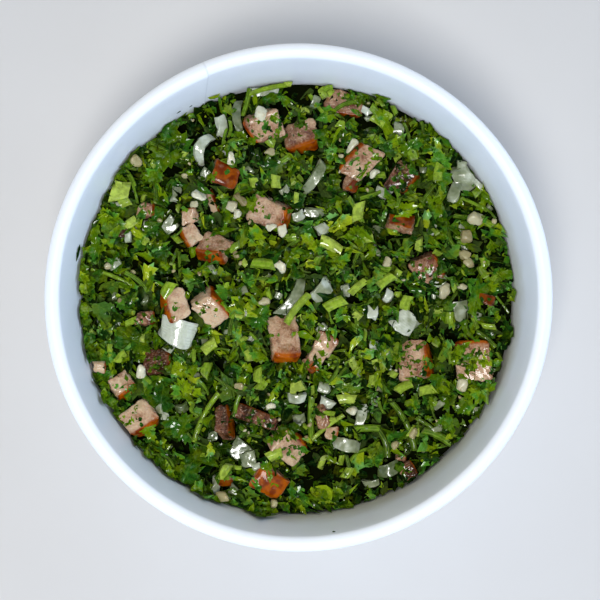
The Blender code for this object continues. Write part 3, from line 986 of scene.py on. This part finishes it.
# Tomato dice: size inwards from the skin, along the skin and down, in mm; the way the skin
# faces, and how far it is turned up, in degrees; tone from peach to dark brown-red; and how
# much leaf sticks to the dice
Dice = namedtuple("Dice", "at size turn up tone cover", defaults=(1.0,))
TOMATO = rows(
    Dice,
    ((345, 97), (6.5, 11.5, 6), -100, 22, 0.5, 1.4), ((263, 126), (10.0, 8.5, 8), -160, 8, 0.38, 2.2),
    ((303, 136), (8.0, 9.5, 8), -80, 30, 0.5, 0.5), ((224, 173), (5.5, 6.5, 7), -20, 70, 0.52, 0.4),
    ((361, 160), (8.5, 11.0, 7), 140, 6, 0.32, 1.6), ((402, 179), (7.5, 9.0, 7), -30, 14, 0.92, 2.4),
    ((402, 223), (4.0, 8.0, 5), 85, 40, 0.55, 0.7), ((351, 184), (3.5, 4.0, 4), -30, 50, 0.6, 0.5),
    ((270, 212), (12.5, 8.5, 8), -25, 16, 0.32, 0.8), ((190, 216), (5.0, 4.4, 5), 100, 0, 0.26, 0.3),
    ((212, 201), (2.8, 7.5, 4), 20, 0, 0.15, 0.5), ((190, 235), (5.0, 5.5, 5), -150, 14, 0.06, 0.0),
    ((214, 248), (7.5, 9.0, 6), -120, 26, 0.5, 0.8), ((145, 210), (4.5, 4.5, 5), 0, 0, 0.55, 1.0),
    ((175, 305), (8.2, 10.0, 7), -165, 4, 0.12, 0.3), ((209, 310), (8.6, 10.5, 7), 40, 0, 0.12, 0.6),
    ((144, 318), (5.5, 3.6, 5), 0, 0, 0.66, 1.0), ((284, 341), (11.5, 8.0, 8), -85, 18, 0.36, 0.2),
    ((318, 353), (9.0, 4.6, 6), -120, 0, 0.06, 0.2), ((326, 346), (5.5, 6.5, 6), 60, 0, 0.3, 0.6),
    ((427, 270), (8.0, 8.5, 7), 30, 6, 0.58, 2.6), ((488, 299), (1.8, 4.5, 3), 80, 75, 0.75, 0.5),
    ((416, 361), (8.0, 10.5, 8), 5, 16, 0.42, 2.6), ((477, 363), (11.5, 10.0, 7), 100, 0, 0.3, 4.2),
    ((120, 387), (6.0, 6.5, 7), -60, 10, 0.22, 0.8), ((131, 423), (9.0, 9.5, 8), -55, 12, 0.2, 1.3),
    ((225, 423), (4.6, 9.5, 6), 10, 8, 0.93, 0.8), ((256, 419), (4.6, 12.0, 6), 70, 8, 0.84, 1.5),
    ((289, 446), (8.0, 9.5, 6), 50, 0, 0.28, 1.2), ((268, 482), (6.0, 9.0, 9), -45, 82, 0.3, 0.4),
    ((225, 481), (3.0, 4.0, 4), -90, 60, 0.7, 0.5), ((322, 418), (3.8, 7.0, 5), 20, 0, 0.52, 0.8),
    ((332, 434), (3.6, 3.6, 4), 0, 0, 0.3, 0.5), ((155, 363), (8.0, 5.5, 6), 0, 0, 0.95, 1.2),
    ((401, 461), (3.4, 3.4, 4), 0, 0, 0.5, 0.5), ((408, 472), (4.6, 5.0, 4), 30, 0, 0.95, 1.2),
    ((312, 365), (3.0, 4.0, 4), -60, 40, 0.6, 1.5), ((122, 232), (3.2, 2.4, 3), 0, 0, 0.9, 0.5),
    ((92, 368), (3.4, 3.4, 4), 0, 0, 0.06, 0.3),
)


# A small flake of leaf for so many square mm of a dice, and larger ones for each mm of its reach
FLAKE_AREA = 7
SHREDS_PER_MM = 1.3


def lay_tomato(heap):
    pieces = Pieces("tomato_dice")
    for dice in TOMATO:
        cube = block(dice.size, 0.26, 0.3, rough=0.11, bulge=0.12)
        lean = -math.radians(dice.up) + rng.normal(0, 0.12)
        rise = (0.6 - dice.size[2] / 2) * MM
        set_down(heap, pieces, dice, cube, lean, rng.normal(0, 0.24), level=rise)
    return pieces


def garnish_tomato(heap, shreds, crumbs):
    """Flakes of leaf stuck on the dice, and a few larger ones over their edges."""
    for dice in TOMATO:
        x, y = spot(dice.at)
        reach = (dice.size[0] + dice.size[1]) / 4 * MM
        darker = 0.3 * dice.tone
        for _ in range(round(dice.cover * dice.size[0] * dice.size[1] / FLAKE_AREA)):
            flake = leaf(rng.uniform(1.2, 4), rng.uniform(0.7, 2.0), corners=8, rings=1, curl=0.4)
            flake = tilted(flake, 6)
            dx, dy = polar(reach * rng.uniform(0.1, 1), any_turn())
            lay(heap, crumbs, flake, x + dx, y + dy, rng.uniform(0.35, 0.85) - darker, droop=0.85)
        for _ in range(round(dice.cover * (reach / MM - 0.5) * SHREDS_PER_MM)):
            shred = leaf(rng.uniform(3.5, 7), rng.uniform(1.5, 3.5), corners=14, rings=2, cuts=2)
            shred = tilted(shred, 18)
            turn = any_turn()
            dx, dy = polar(reach * rng.uniform(0.95, 1.35), turn)
            lay(heap, shreds, shred, x + dx, y + dy, rng.uniform(0.35, 0.75) - darker, droop=0.5)


# Onion: length, width and thickness, and tone from grey to white
ONION = rows(
    Mark,
    ((221, 124), (7.4, 3.4, 1.6), 92, 0.85), ((236, 116), (9.5, 3.0, 1.2), 95, 0.2, -1.2),
    ((200, 146), (9.5, 3.2, 1.4), 68, 0.8, -2.6), ((265, 81), (10.0, 2.6, 1.2), 8, 0.85),
    ((176, 193), (5.0, 2.6, 1.2), 80, 0.55), ((169, 225), (5.5, 4.5, 1.4), 40, 0.44),
    ((315, 179), (12.5, 3.2, 1.5), 55, 0.3, 1.0), ((315, 212), (5.4, 2.4, 1.2), 0, 0.22),
    ((299, 216), (3.3, 3.0, 1.4), 20, 0.62), ((369, 110), (4.5, 2.6, 1.4), -30, 0.98),
    ((400, 127), (4.5, 3.4, 1.4), 70, 0.3), ((471, 176), (8.5, 5.0, 1.4), -50, 0.5),
    ((455, 193), (6.5, 3.4, 1.4), 65, 0.42), ((383, 193), (4.6, 3.0, 1.3), -25, 0.75),
    ((424, 169), (2.2, 1.8, 1.2), 0, 0.1), ((179, 334), (10.5, 7.5, 2.2), -15, 1.0),
    ((294, 301), (12.5, 3.4, 1.2), 55, 0.3, 1.4), ((322, 291), (8.0, 4.8, 1.0), 50, 0.45),
    ((323, 229), (3.4, 3.0, 1.6), 30, 0.75), ((346, 290), (4.4, 2.4, 1.6), 100, 0.7),
    ((405, 322), (8.0, 6.2, 1.6), -40, 0.85), ((373, 310), (4.8, 2.8, 1.8), 95, 0.95),
    ((442, 281), (4.4, 2.6, 1.2), 50, 0.65), ((115, 205), (3.0, 2.6, 1.4), 10, 0.65),
    ((145, 300), (3.4, 1.8, 1.0), 70, 0.0), ((297, 400), (5.5, 3.0, 1.6), 0, 0.75),
    ((325, 389), (3.4, 3.4, 1.4), 70, 0.55), ((327, 405), (4.6, 2.8, 1.3), -20, 0.98),
    ((299, 421), (4.6, 3.6, 1.3), 10, 0.5), ((362, 416), (6.5, 3.2, 1.4), 80, 0.72),
    ((347, 446), (8.0, 4.2, 1.4), -8, 0.52), ((240, 452), (7.0, 5.5, 1.6), -40, 0.1),
    ((247, 461), (4.5, 4.2, 1.6), 10, 0.35), ((212, 437), (3.0, 3.2, 1.4), 0, 0.2),
    ((181, 410), (3.6, 3.0, 1.4), 15, 0.15), ((389, 471), (6.5, 4.6, 1.4), 20, 0.0),
    ((389, 297), (3.6, 2.8, 1.4), 60, 0.85), ((463, 312), (4.5, 6.0, 1.2), 10, 0.4),
    ((230, 500), (4.5, 2.8, 1.3), 60, 0.5), ((213, 493), (5.5, 2.4, 1.3), 80, 0.6),
    ((372, 486), (4.5, 2.2, 1.3), 10, 0.45), ((285, 190), (3.0, 2.0, 1.2), 40, 0.45),
    ((113, 295), (2.8, 1.8, 1.2), 100, 0.4),
)


def lay_onion(heap):
    pieces = Pieces("onion")
    for scale in ONION:
        bow = rng.uniform(0.2, 0.9)
        plate = block(scale.size, 0.14, 0.34, rough=0.06, bow=bow, pinch=0.15, curve=scale.curve)
        set_down(heap, pieces, scale, plate, rng.normal(0, 0.14), rng.normal(0, 0.22), press=0.72)
    for _ in range(ONION_BITS):
        size = (rng.uniform(1.8, 4.2), rng.uniform(1.4, 2.8), rng.uniform(0.8, 1.4))
        plate = block(size, 0.25, 0.3, lines=COARSE, rough=0.04, bow=rng.uniform(0, 1.2))
        plate = turned(plate, any_turn(), rng.normal(0, 0.3), rng.normal(0, 0.3))
        scatter(heap, pieces, plate, 3, (0.15, 0.75), 0.7)
    return pieces


# Bulgur: length, width and thickness, and tone from tan to white
BULGUR = rows(
    Mark,
    ((260, 113), (4.0, 3.2, 2.6), -20, 0.95), ((231, 159), (4.2, 1.9, 1.8), 95, 0.85),
    ((199, 196), (3.3, 2.8, 2.4), -25, 1.0), ((195, 204), (2.6, 2.4, 2.0), 30, 0.65),
    ((232, 205), (3.2, 2.6, 2.2), 70, 0.75), ((237, 213), (3.2, 2.3, 2.2), 75, 0.95),
    ((240, 199), (3.8, 2.4, 2.0), -50, 0.05), ((272, 227), (3.2, 2.8, 2.4), 10, 0.92),
    ((283, 231), (3.6, 2.6, 2.4), -60, 0.9), ((270, 152), (3.4, 2.6, 2.2), -20, 0.5),
    ((351, 146), (4.6, 1.8, 1.8), 50, 0.88), ((342, 155), (1.6, 1.3, 1.2), 0, 0.6),
    ((375, 172), (3.6, 2.4, 2.0), 25, 0.98), ((477, 217), (4.0, 3.6, 2.8), -20, 0.6),
    ((467, 236), (3.2, 3.0, 2.4), 0, 0.2), ((466, 255), (3.6, 2.6, 2.2), -20, 0.4),
    ((471, 262), (3.6, 3.0, 2.2), 30, 0.42), ((388, 262), (3.2, 2.6, 2.2), 80, 0.6),
    ((280, 266), (4.2, 2.6, 2.2), -45, 0.95), ((266, 302), (3.6, 2.2, 2.0), -10, 0.6),
    ((236, 255), (2.4, 1.8, 1.6), -50, 0.1), ((135, 160), (3.4, 3.0, 2.4), 40, 0.4),
    ((106, 266), (2.2, 1.8, 1.6), 20, 0.6), ((141, 371), (3.9, 3.1, 2.6), 80, 1.0),
    ((353, 411), (3.8, 3.2, 2.6), 50, 0.9), ((239, 386), (2.4, 2.0, 1.8), 0, 0.3),
    ((271, 407), (3.2, 1.9, 1.8), 15, 1.0), ((414, 434), (3.0, 2.2, 1.8), 80, 0.4),
    ((396, 447), (2.4, 1.6, 1.6), 20, 0.4), ((463, 387), (3.4, 2.7, 2.2), 80, 0.75),
    ((463, 287), (2.8, 2.2, 2.0), -30, 0.6), ((445, 291), (4.6, 3.2, 2.8), 80, 0.66),
    ((274, 504), (2.8, 2.2, 2.0), 70, 0.5), ((221, 500), (3.8, 3.4, 2.4), 10, 0.42),
    ((185, 176), (1.5, 1.4, 1.2), 0, 0.5),
)


def lay_bulgur(heap):
    pieces = Pieces("bulgur")
    for grain in BULGUR:
        body = block(grain.size, 0.7, 0.55, lines=MEDIUM, rough=0.12)
        set_down(heap, pieces, grain, body, rng.normal(0, 0.15), rng.uniform(0, 3), press=0.75)
    for _ in range(LOOSE_GRAINS):
        long = rng.uniform(0.9, 2.0)
        size = (long, long * rng.uniform(0.55, 0.85), long * rng.uniform(0.5, 0.8))
        body = block(size, 0.85, 0.3, lines=MEDIUM, rough=0.04)
        body = turned(body, any_turn(), rng.normal(0, 0.3), rng.uniform(0, 3))
        scatter(heap, pieces, body, 3, (0, 0.7), 0.7)
    return pieces


# Stems: length, thickness and sideways bend, and tone to yellow-green
STEMS = rows(
    Mark,
    ((206, 418), (17.0, 1.7, 1.0), 63, 0.62), ((312, 419), (13.0, 2.0, 0.3), 90, 0.45),
    ((328, 428), (12.5, 1.4, 0.4), 38, 0.85), ((110, 277), (13.5, 1.3, 0.5), -22, 0.6),
    ((126, 183), (11.0, 0.9, 0.6), -70, 0.4), ((403, 426), (18.0, 1.8, 1.4), -63, 0.22),
    ((384, 445), (9.0, 2.0, 0.8), -72, 0.0), ((368, 430), (7.5, 2.3, 0.3), 2, 0.42),
    ((431, 430), (11.0, 1.3, 0.6), -38, 0.08), ((438, 438), (9.5, 2.4, 0.6), -26, 0.35),
    ((224, 140), (8.0, 1.0, 0.4), 80, 0.4), ((298, 309), (11.5, 2.4, 0.6), 52, 0.82),
    ((268, 85), (12.0, 1.6, 0.4), 14, 0.7), ((120, 170), (6.0, 0.9, 0.4), -60, 0.45),
    ((258, 345), (9.0, 1.1, 0.5), -55, 0.45), ((488, 340), (7.5, 1.8, 0.4), -40, 0.15),
    ((240, 400), (9.0, 1.4, 0.7), 68, 0.35), ((345, 105), (9.0, 1.4, 1.0), 25, 0.25),
    ((380, 117), (9.5, 2.4, 0.6), -58, 0.5),
)

# Short thick cuts of spring onion and celery-like stem, sized and toned as the stems
CHUNKS = rows(
    Mark,
    ((111, 187), (6.0, 5.6, 0.3), 10, 1.0), ((331, 246), (7.4, 3.8, 0.4), -30, 1.0),
    ((366, 237), (4.6, 3.8, 0.2), 10, 0.9), ((359, 211), (5.6, 3.6, 0.2), 84, 0.92),
    ((358, 287), (6.4, 2.4, 0.2), 40, 0.85), ((335, 304), (6.6, 3.6, 0.3), 25, 0.78),
    ((258, 376), (4.4, 2.8, 0.2), 88, 0.8), ((347, 400), (5.4, 2.8, 0.2), 0, 0.98),
    ((297, 388), (4.6, 3.6, 0.2), 20, 0.98), ((225, 472), (5.0, 3.4, 0.3), 60, 0.88),
    ((275, 455), (4.6, 3.4, 0.2), 20, 0.9), ((168, 290), (5.2, 3.6, 0.3), 60, 0.75),
    ((130, 223), (4.2, 2.8, 0.2), 40, 1.0), ((124, 202), (3.4, 2.8, 0.2), 20, 0.85),
    ((407, 303), (4.6, 3.6, 0.3), 70, 0.8), ((386, 281), (5.6, 3.0, 0.3), 35, 0.8),
    ((451, 318), (3.6, 2.6, 0.2), 90, 0.72), ((263, 264), (7.0, 3.2, 0.2), -6, 0.58),
    ((209, 347), (5.0, 3.4, 0.3), 40, 0.92), ((405, 388), (5.4, 3.0, 0.3), 30, 0.8),
    ((428, 391), (5.0, 3.2, 0.3), 10, 0.84), ((206, 370), (4.6, 3.2, 0.3), 70, 0.6),
    ((378, 120), (4.6, 2.2, 0.3), -35, 0.85), ((440, 172), (5.0, 3.0, 0.4), 80, 0.76),
)


def stem_solid(mark, sides, spans, flat=1.0):
    length, thickness, bend = mark.size
    return tube(length, thickness / 2, bend, sides, spans, flat)


def lay_stems(heap):
    stems = Pieces("stems")
    for stem in STEMS:
        set_down(heap, stems, stem, stem_solid(stem, 10, 8), rng.normal(0, 0.05), press=0.82)
    for _ in range(LOOSE_STEMS):
        rod = tube(rng.uniform(3, 10), rng.uniform(0.3, 0.8), rng.normal(0, 0.7), 7, 4)
        rod = turned(rod, any_turn(), rng.normal(0, 0.2))
        scatter(heap, stems, rod, 5, (0.0, 0.55), 0.78)
    return stems


def lay_chunks(heap):
    chunks = Pieces("green_cuts")
    for cut in CHUNKS:
        rod = stem_solid(cut, 12, 4, 0.6)
        set_down(heap, chunks, cut, rod, rng.normal(0, 0.12), rng.normal(0, 0.3), press=0.75)
    for _ in range(LOOSE_CUTS):
        rod = tube(rng.uniform(1.8, 4.2), rng.uniform(0.6, 1.5), rng.normal(0, 0.2), 8, 3, 0.6)
        rod = turned(rod, any_turn(), rng.normal(0, 0.3), rng.normal(0, 0.5))
        scatter(heap, chunks, rod, 5, (0.45, 1.0), 0.75)
    return chunks


# Leaves that stand out: length, width and how strongly they curl, and tone from dark to bright
LEAVES = rows(
    Mark,
    ((473, 362), (7.5, 5.4, 0.5), 60, 0.36), ((441, 160), (8.0, 6.0, 0.8), -40, 0.66),
    ((403, 212), (9.0, 7.0, 0.9), 20, 0.7), ((357, 235), (8.0, 5.0, 0.7), -60, 0.55),
    ((167, 149), (14.5, 11.5, 1.0), 15, 0.42), ((153, 173), (7.5, 6.5, 0.9), 80, 0.5),
    ((107, 217), (8.0, 5.6, 0.5), -5, 0.68), ((95, 246), (13.0, 4.0, 0.6), 88, 0.5),
    ((160, 402), (11.0, 8.6, 1.2), 80, 0.32), ((178, 370), (7.5, 6.4, 0.4), 80, 0.78),
    ((184, 392), (10.5, 7.0, 0.7), -20, 0.7), ((182, 429), (10.5, 8.6, 1.0), 60, 0.42),
    ((186, 475), (12.0, 10.0, 1.0), 65, 0.36), ((267, 470), (7.6, 3.6, 0.5), -75, 0.55),
    ((487, 359), (8.2, 3.6, 0.3), 88, 0.86), ((482, 392), (9.5, 6.6, 0.8), 30, 0.62),
    ((449, 425), (8.0, 5.6, 0.8), -60, 0.52), ((477, 298), (16.0, 4.6, 0.5), 78, 0.52),
    ((505, 274), (8.5, 4.2, 0.4), 0, 0.5), ((411, 147), (8.5, 6.0, 0.5), 40, 0.46),
    ((384, 119), (11.5, 4.4, 0.4), -60, 0.6), ((338, 221), (9.0, 6.0, 0.9), 10, 0.98),
    ((259, 318), (9.5, 7.6, 0.6), 60, 0.44), ((236, 297), (9.0, 4.4, 0.6), -65, 0.34),
    ((342, 315), (6.6, 5.0, 0.5), 85, 0.62), ((270, 162), (9.0, 3.6, 0.6), -15, 0.3),
    ((130, 340), (13.0, 8.0, 1.0), -20, 0.36), ((148, 430), (7.0, 5.4, 1.0), -70, 0.62),
    ((220, 450), (7.0, 4.6, 0.5), 10, 0.25), ((465, 409), (6.0, 5.0, 0.8), -30, 0.45),
    ((288, 432), (8.0, 5.6, 0.5), 30, 0.3), ((254, 202), (7.5, 5.6, 0.7), 50, 0.52),
    ((320, 245), (6.0, 4.6, 0.6), 20, 0.66), ((352, 96), (4.0, 3.4, 0.4), -60, 0.4),
    ((364, 90), (5.0, 3.0, 0.6), -20, 0.5), ((340, 262), (7.0, 5.0, 0.7), 30, 0.62),
)


# Bits of leaf stuck on the wall above the salad, with the turn of the length from level
WALL_BITS = rows(
    Mark,
    ((215, 98), (4.4, 3.2, 0.4), 40, 0.85), ((76, 251), (5.4, 2.6, 0.5), 6, 0.22),
    ((178, 110), (1.6, 0.6, 0.2), 10, 0.2), ((190, 104), (1.2, 0.5, 0.2), -20, 0.2),
    ((334, 534), (1.0, 0.6, 0.1), 20, 0.15),
)


def wall_spot(at):
    """The turn and height on the inner wall that show at a pixel of the photo."""
    x, y = spot(at)
    low, high = HEAP_EDGE, ROLL_CENTRE[1]
    for _ in range(20):
        z = (low + high) / 2
        seen = math.hypot(x, y) * (CAMERA_TOP - z) / (CAMERA_TOP - HEAP_EDGE)
        low, high = (z, high) if seen > inner_radius(z) else (low, z)
    return math.atan2(y, x), z


def stick_to_wall(pieces):
    upright = SLOPE - math.pi / 2
    for bit in WALL_BITS:
        turn, z = wall_spot(bit.at)
        length, width, curl = bit.size
        piece = leaf(length, width, corners=12, rings=2, cuts=0, curl=curl)
        piece = turned(turned(piece, math.radians(90 - bit.turn)), turn, upright)
        middle = np.array([*polar(inner_radius(z), turn), z])
        points = inside_wall(piece.points + middle, False, 0.05 * MM)
        pieces.add(piece._replace(points=points), bit.tone)


def free_place(heap, solid, tries, care=6.0):
    """A random place on the salad, the emptiest of a few.  `care` says, in mm of height, how
    strongly the piece keeps off what has to stay in view."""
    best = None
    for _ in range(tries):
        radius = inner_radius(HEAP_EDGE) * math.sqrt(rng.uniform(0, 1)) - 0.5 * MM
        x, y = polar(radius, any_turn())
        over = heap.covers_kept(moved(solid, x, y))
        want = heap.want(np.array([x]), np.array([y]))[0] - over * care * MM
        if best is None or want > best[0]:
            best = (want, x, y)
    return best[1], best[2]


def tilted(solid, spread):
    """Turned any way, and leaned by a random amount with the given spread in degrees."""
    lean = math.radians(rng.normal(0, spread))
    roll = math.radians(rng.normal(0, spread))
    return turned(solid, any_turn(), lean, roll)


def shade(mean, spread, least=0.05):
    return np.clip(rng.normal(mean, spread), least, 1)


def scatter_leaves(heap, pieces, layer, tries=6, care=6.0, **shape):
    for _ in range(layer.count):
        long = rng.uniform(*layer.length)
        piece = tilted(leaf(long, long * rng.uniform(*layer.width), **shape), layer.tilt)
        if rng.random() < FLIPPED_SHARE:
            piece = flipped(piece)
        x, y = free_place(heap, piece, tries, care)
        lay(heap, pieces, piece, x, y, shade(*layer.tone, 0.02), press=0.75, droop=0.2)


# The way in which the long strips of leaf run on the whole
BLADE_TURN = math.radians(-45)


def scatter_blades(heap, pieces, count):
    """Long cut strips of leaf, which lie much as their neighbours do."""
    for _ in range(count):
        long = rng.uniform(5, 11)
        blade = leaf(long, long * rng.uniform(0.17, 0.34), corners=12, rings=2, lobes=0.1)
        x, y = free_place(heap, blade, 5)
        turn = BLADE_TURN - 0.35 * x / (60 * MM) + 0.6 * math.sin(y / (12 * MM)) + rng.normal(0, 0.45)
        blade = turned(blade, turn, rng.normal(0, 0.3), rng.normal(0, 0.6))
        lay(heap, pieces, blade, x, y, shade(0.5, 0.22), droop=0.15)


def lean_on_wall(heap, pieces, count):
    """Leaves pushed up the wall where the salad is banked up."""
    for _ in range(count):
        long = rng.uniform(4, 9)
        piece = tilted(leaf(long, long * rng.uniform(0.35, 0.8), corners=14, rings=2), 25)
        turn = rng.uniform(*BANK)
        radius = inner_radius(HEAP_EDGE) - rng.uniform(-1.0, 2.0) * MM
        x, y = polar(radius, turn)
        tone = shade(0.42, 0.2)
        if heap.covers_kept(moved(piece, x, y)) < MOST_COVERED:
            lay(heap, pieces, piece, x, y, tone, droop=0.2)


def flipped(solid):
    """The piece with its pale underside up."""
    places = solid.places.copy()
    places[:, 2] = 1 - places[:, 2]
    return solid._replace(places=places)


def lay_landmark_leaves(heap, pieces):
    for mark in LEAVES:
        length, width, curl = mark.size
        piece = leaf(length, width, corners=30, teeth=0.25, cuts=0, curl=curl)
        tilt = (rng.normal(0, 0.1), rng.normal(0, 0.15))
        set_down(heap, pieces, mark, piece, *tilt, press=0.72, droop=0.3)


# Layers of loose leaf, from the bottom up: how many pieces, the range of their length in mm and
# of the width's share of it, the mean and spread of the tone, and the tilt's spread in degrees.
# The lower layers are given darker tones, down to near black, as painted shade deep in the heap.
Layer = namedtuple("Layer", "count length width tone tilt")
CARPET = Layer(1100, (3, 6.5), (0.4, 0.8), (0.06, 0.07), 32)
LOW_LEAVES = Layer(300, (7, 13), (0.5, 0.9), (0.12, 0.09), 24)
LOW_SHREDS = Layer(520, (5, 10), (0.35, 0.8), (0.27, 0.16), 34)
SHREDS = Layer(480, (4, 9), (0.3, 0.8), (0.42, 0.23), 38)
TOP_LEAVES = Layer(260, (6, 11), (0.45, 0.8), (0.48, 0.22), 34)
SLIVERS = Layer(320, (4, 9), (0.15, 0.35), (0.54, 0.23), 34)
CRUMBS = Layer(620, (1.0, 3.2), (0.3, 0.8), (0.56, 0.25), 42)
TOP_CRUMBS = Layer(330, (1.0, 3.0), (0.3, 0.8), (0.60, 0.25), 42)
WALL_LEAVES = 150
BLADES = 340
# The share of the loose leaves that lie with the underside up, and how much of a leaf at the
# wall may lie over a landmark
FLIPPED_SHARE = 0.25
MOST_COVERED = 0.2


def dress(look, *gathered):
    """Makes each of the gathered pieces an object of this look, as part of the salad."""
    for pieces in gathered:
        obj = pieces.build(look)
        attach(obj, "root")


def build_salad():
    heap = Heap(CORE_DEPTH)
    leaves = Pieces("parsley_leaves")
    shreds = Pieces("parsley_shreds")
    crumbs = Pieces("parsley_crumbs")
    small = {"corners": 14, "rings": 2, "cuts": 2}
    tiny = {"corners": 8, "rings": 1, "cuts": 1}
    scatter_leaves(heap, crumbs, CARPET, tries=1, corners=10, rings=1, cuts=1)
    scatter_leaves(heap, leaves, LOW_LEAVES)
    tomato = lay_tomato(heap)
    scatter_leaves(heap, shreds, LOW_SHREDS, **small)
    onion = lay_onion(heap)
    stems = lay_stems(heap)
    scatter_leaves(heap, shreds, SHREDS, care=8, **small)
    scatter_leaves(heap, leaves, TOP_LEAVES, care=8)
    chunks = lay_chunks(heap)
    lean_on_wall(heap, shreds, WALL_LEAVES)
    scatter_blades(heap, leaves, BLADES)
    scatter_leaves(heap, shreds, SLIVERS, tries=3, **small)
    scatter_leaves(heap, crumbs, CRUMBS, tries=3, **tiny)
    lay_landmark_leaves(heap, leaves)
    garnish_tomato(heap, shreds, crumbs)
    scatter_leaves(heap, crumbs, TOP_CRUMBS, care=12, **tiny)
    bulgur = lay_bulgur(heap)
    stick_to_wall(crumbs)
    dress(leaf_look("parsley leaf", mottling=0.45), leaves)
    dress(leaf_look("chopped parsley", mottling=1.0), shreds, crumbs)
    dress(stem_look(), stems, chunks)
    dress(tomato_look(), tomato)
    dress(onion_look(), onion)
    dress(bulgur_look(), bulgur)


# The stage
CAMERA_ASIDE = (0.44 * MM, -0.74 * MM)
CAMERA_LENS = 81.3
FLOOR_SIZE = 16


def build_stage():
    bpy.ops.mesh.primitive_plane_add(size=FLOOR_SIZE)
    floor = bpy.context.object
    floor.name = "floor"
    floor.data.materials.append(floor_look())
    camera = bpy.data.objects.new("camera", bpy.data.cameras.new("camera"))
    camera.data.lens = CAMERA_LENS
    camera.data.clip_start = 10 * MM
    camera.location = (*CAMERA_ASIDE, CAMERA_TOP)
    bpy.context.scene.collection.objects.link(camera)
    bpy.context.scene.camera = camera


def add_light(name, place, size, power, colour):
    """A square area light that faces the bowl."""
    lamp = bpy.data.lights.new(name, "AREA")
    lamp.size = size
    lamp.energy = power
    lamp.color = colour
    obj = bpy.data.objects.new(name, lamp)
    obj.location = place
    to_bowl = -obj.location
    obj.rotation_euler = to_bowl.to_track_quat("-Z", "Y").to_euler()
    bpy.context.scene.collection.objects.link(obj)


# The level direction the sky is brighter and bluer in
BRIGHT_SIDE = (0.26, -0.97, 0)
WARM_SKY = (1.12, 0.98, 0.74)
COOL_SKY = (0.82, 0.97, 1.24)


def build_light():
    """A sky that is brighter and bluer on one side and dim overhead, and two lamps."""
    scene = bpy.context.scene
    scene.view_settings.view_transform = "Standard"
    scene.view_settings.look = "None"
    sky = Look(bpy.data.worlds.new("studio"), "Background")
    way = sky.node("TexCoord", {}, "Generated")
    side = sky.toward(way, BRIGHT_SIDE)
    by_height = sky.ramp(sky.part(way, "Z"), 0.35, 0.75, 1.35, 0.15)
    by_side = sky.ramp(side, -1.0, -0.3, 0.62, 1.12)
    tint = sky.mix(sky.ramp(side, -1.0, -0.1), WARM_SKY, COOL_SKY)
    sky.set(Strength=by_height * by_side, Color=tint)
    scene.world = sky.owner
    add_light("key", (-0.06, -0.21, 0.84), size=0.25, power=5.1, colour=(0.99, 0.98, 0.97))
    add_light("side", (0.66, 0.31, 0.26), size=0.5, power=1.2, colour=(0.5, 0.7, 1.0))


build_bowl()
build_core()
build_salad()
build_stage()
build_light()
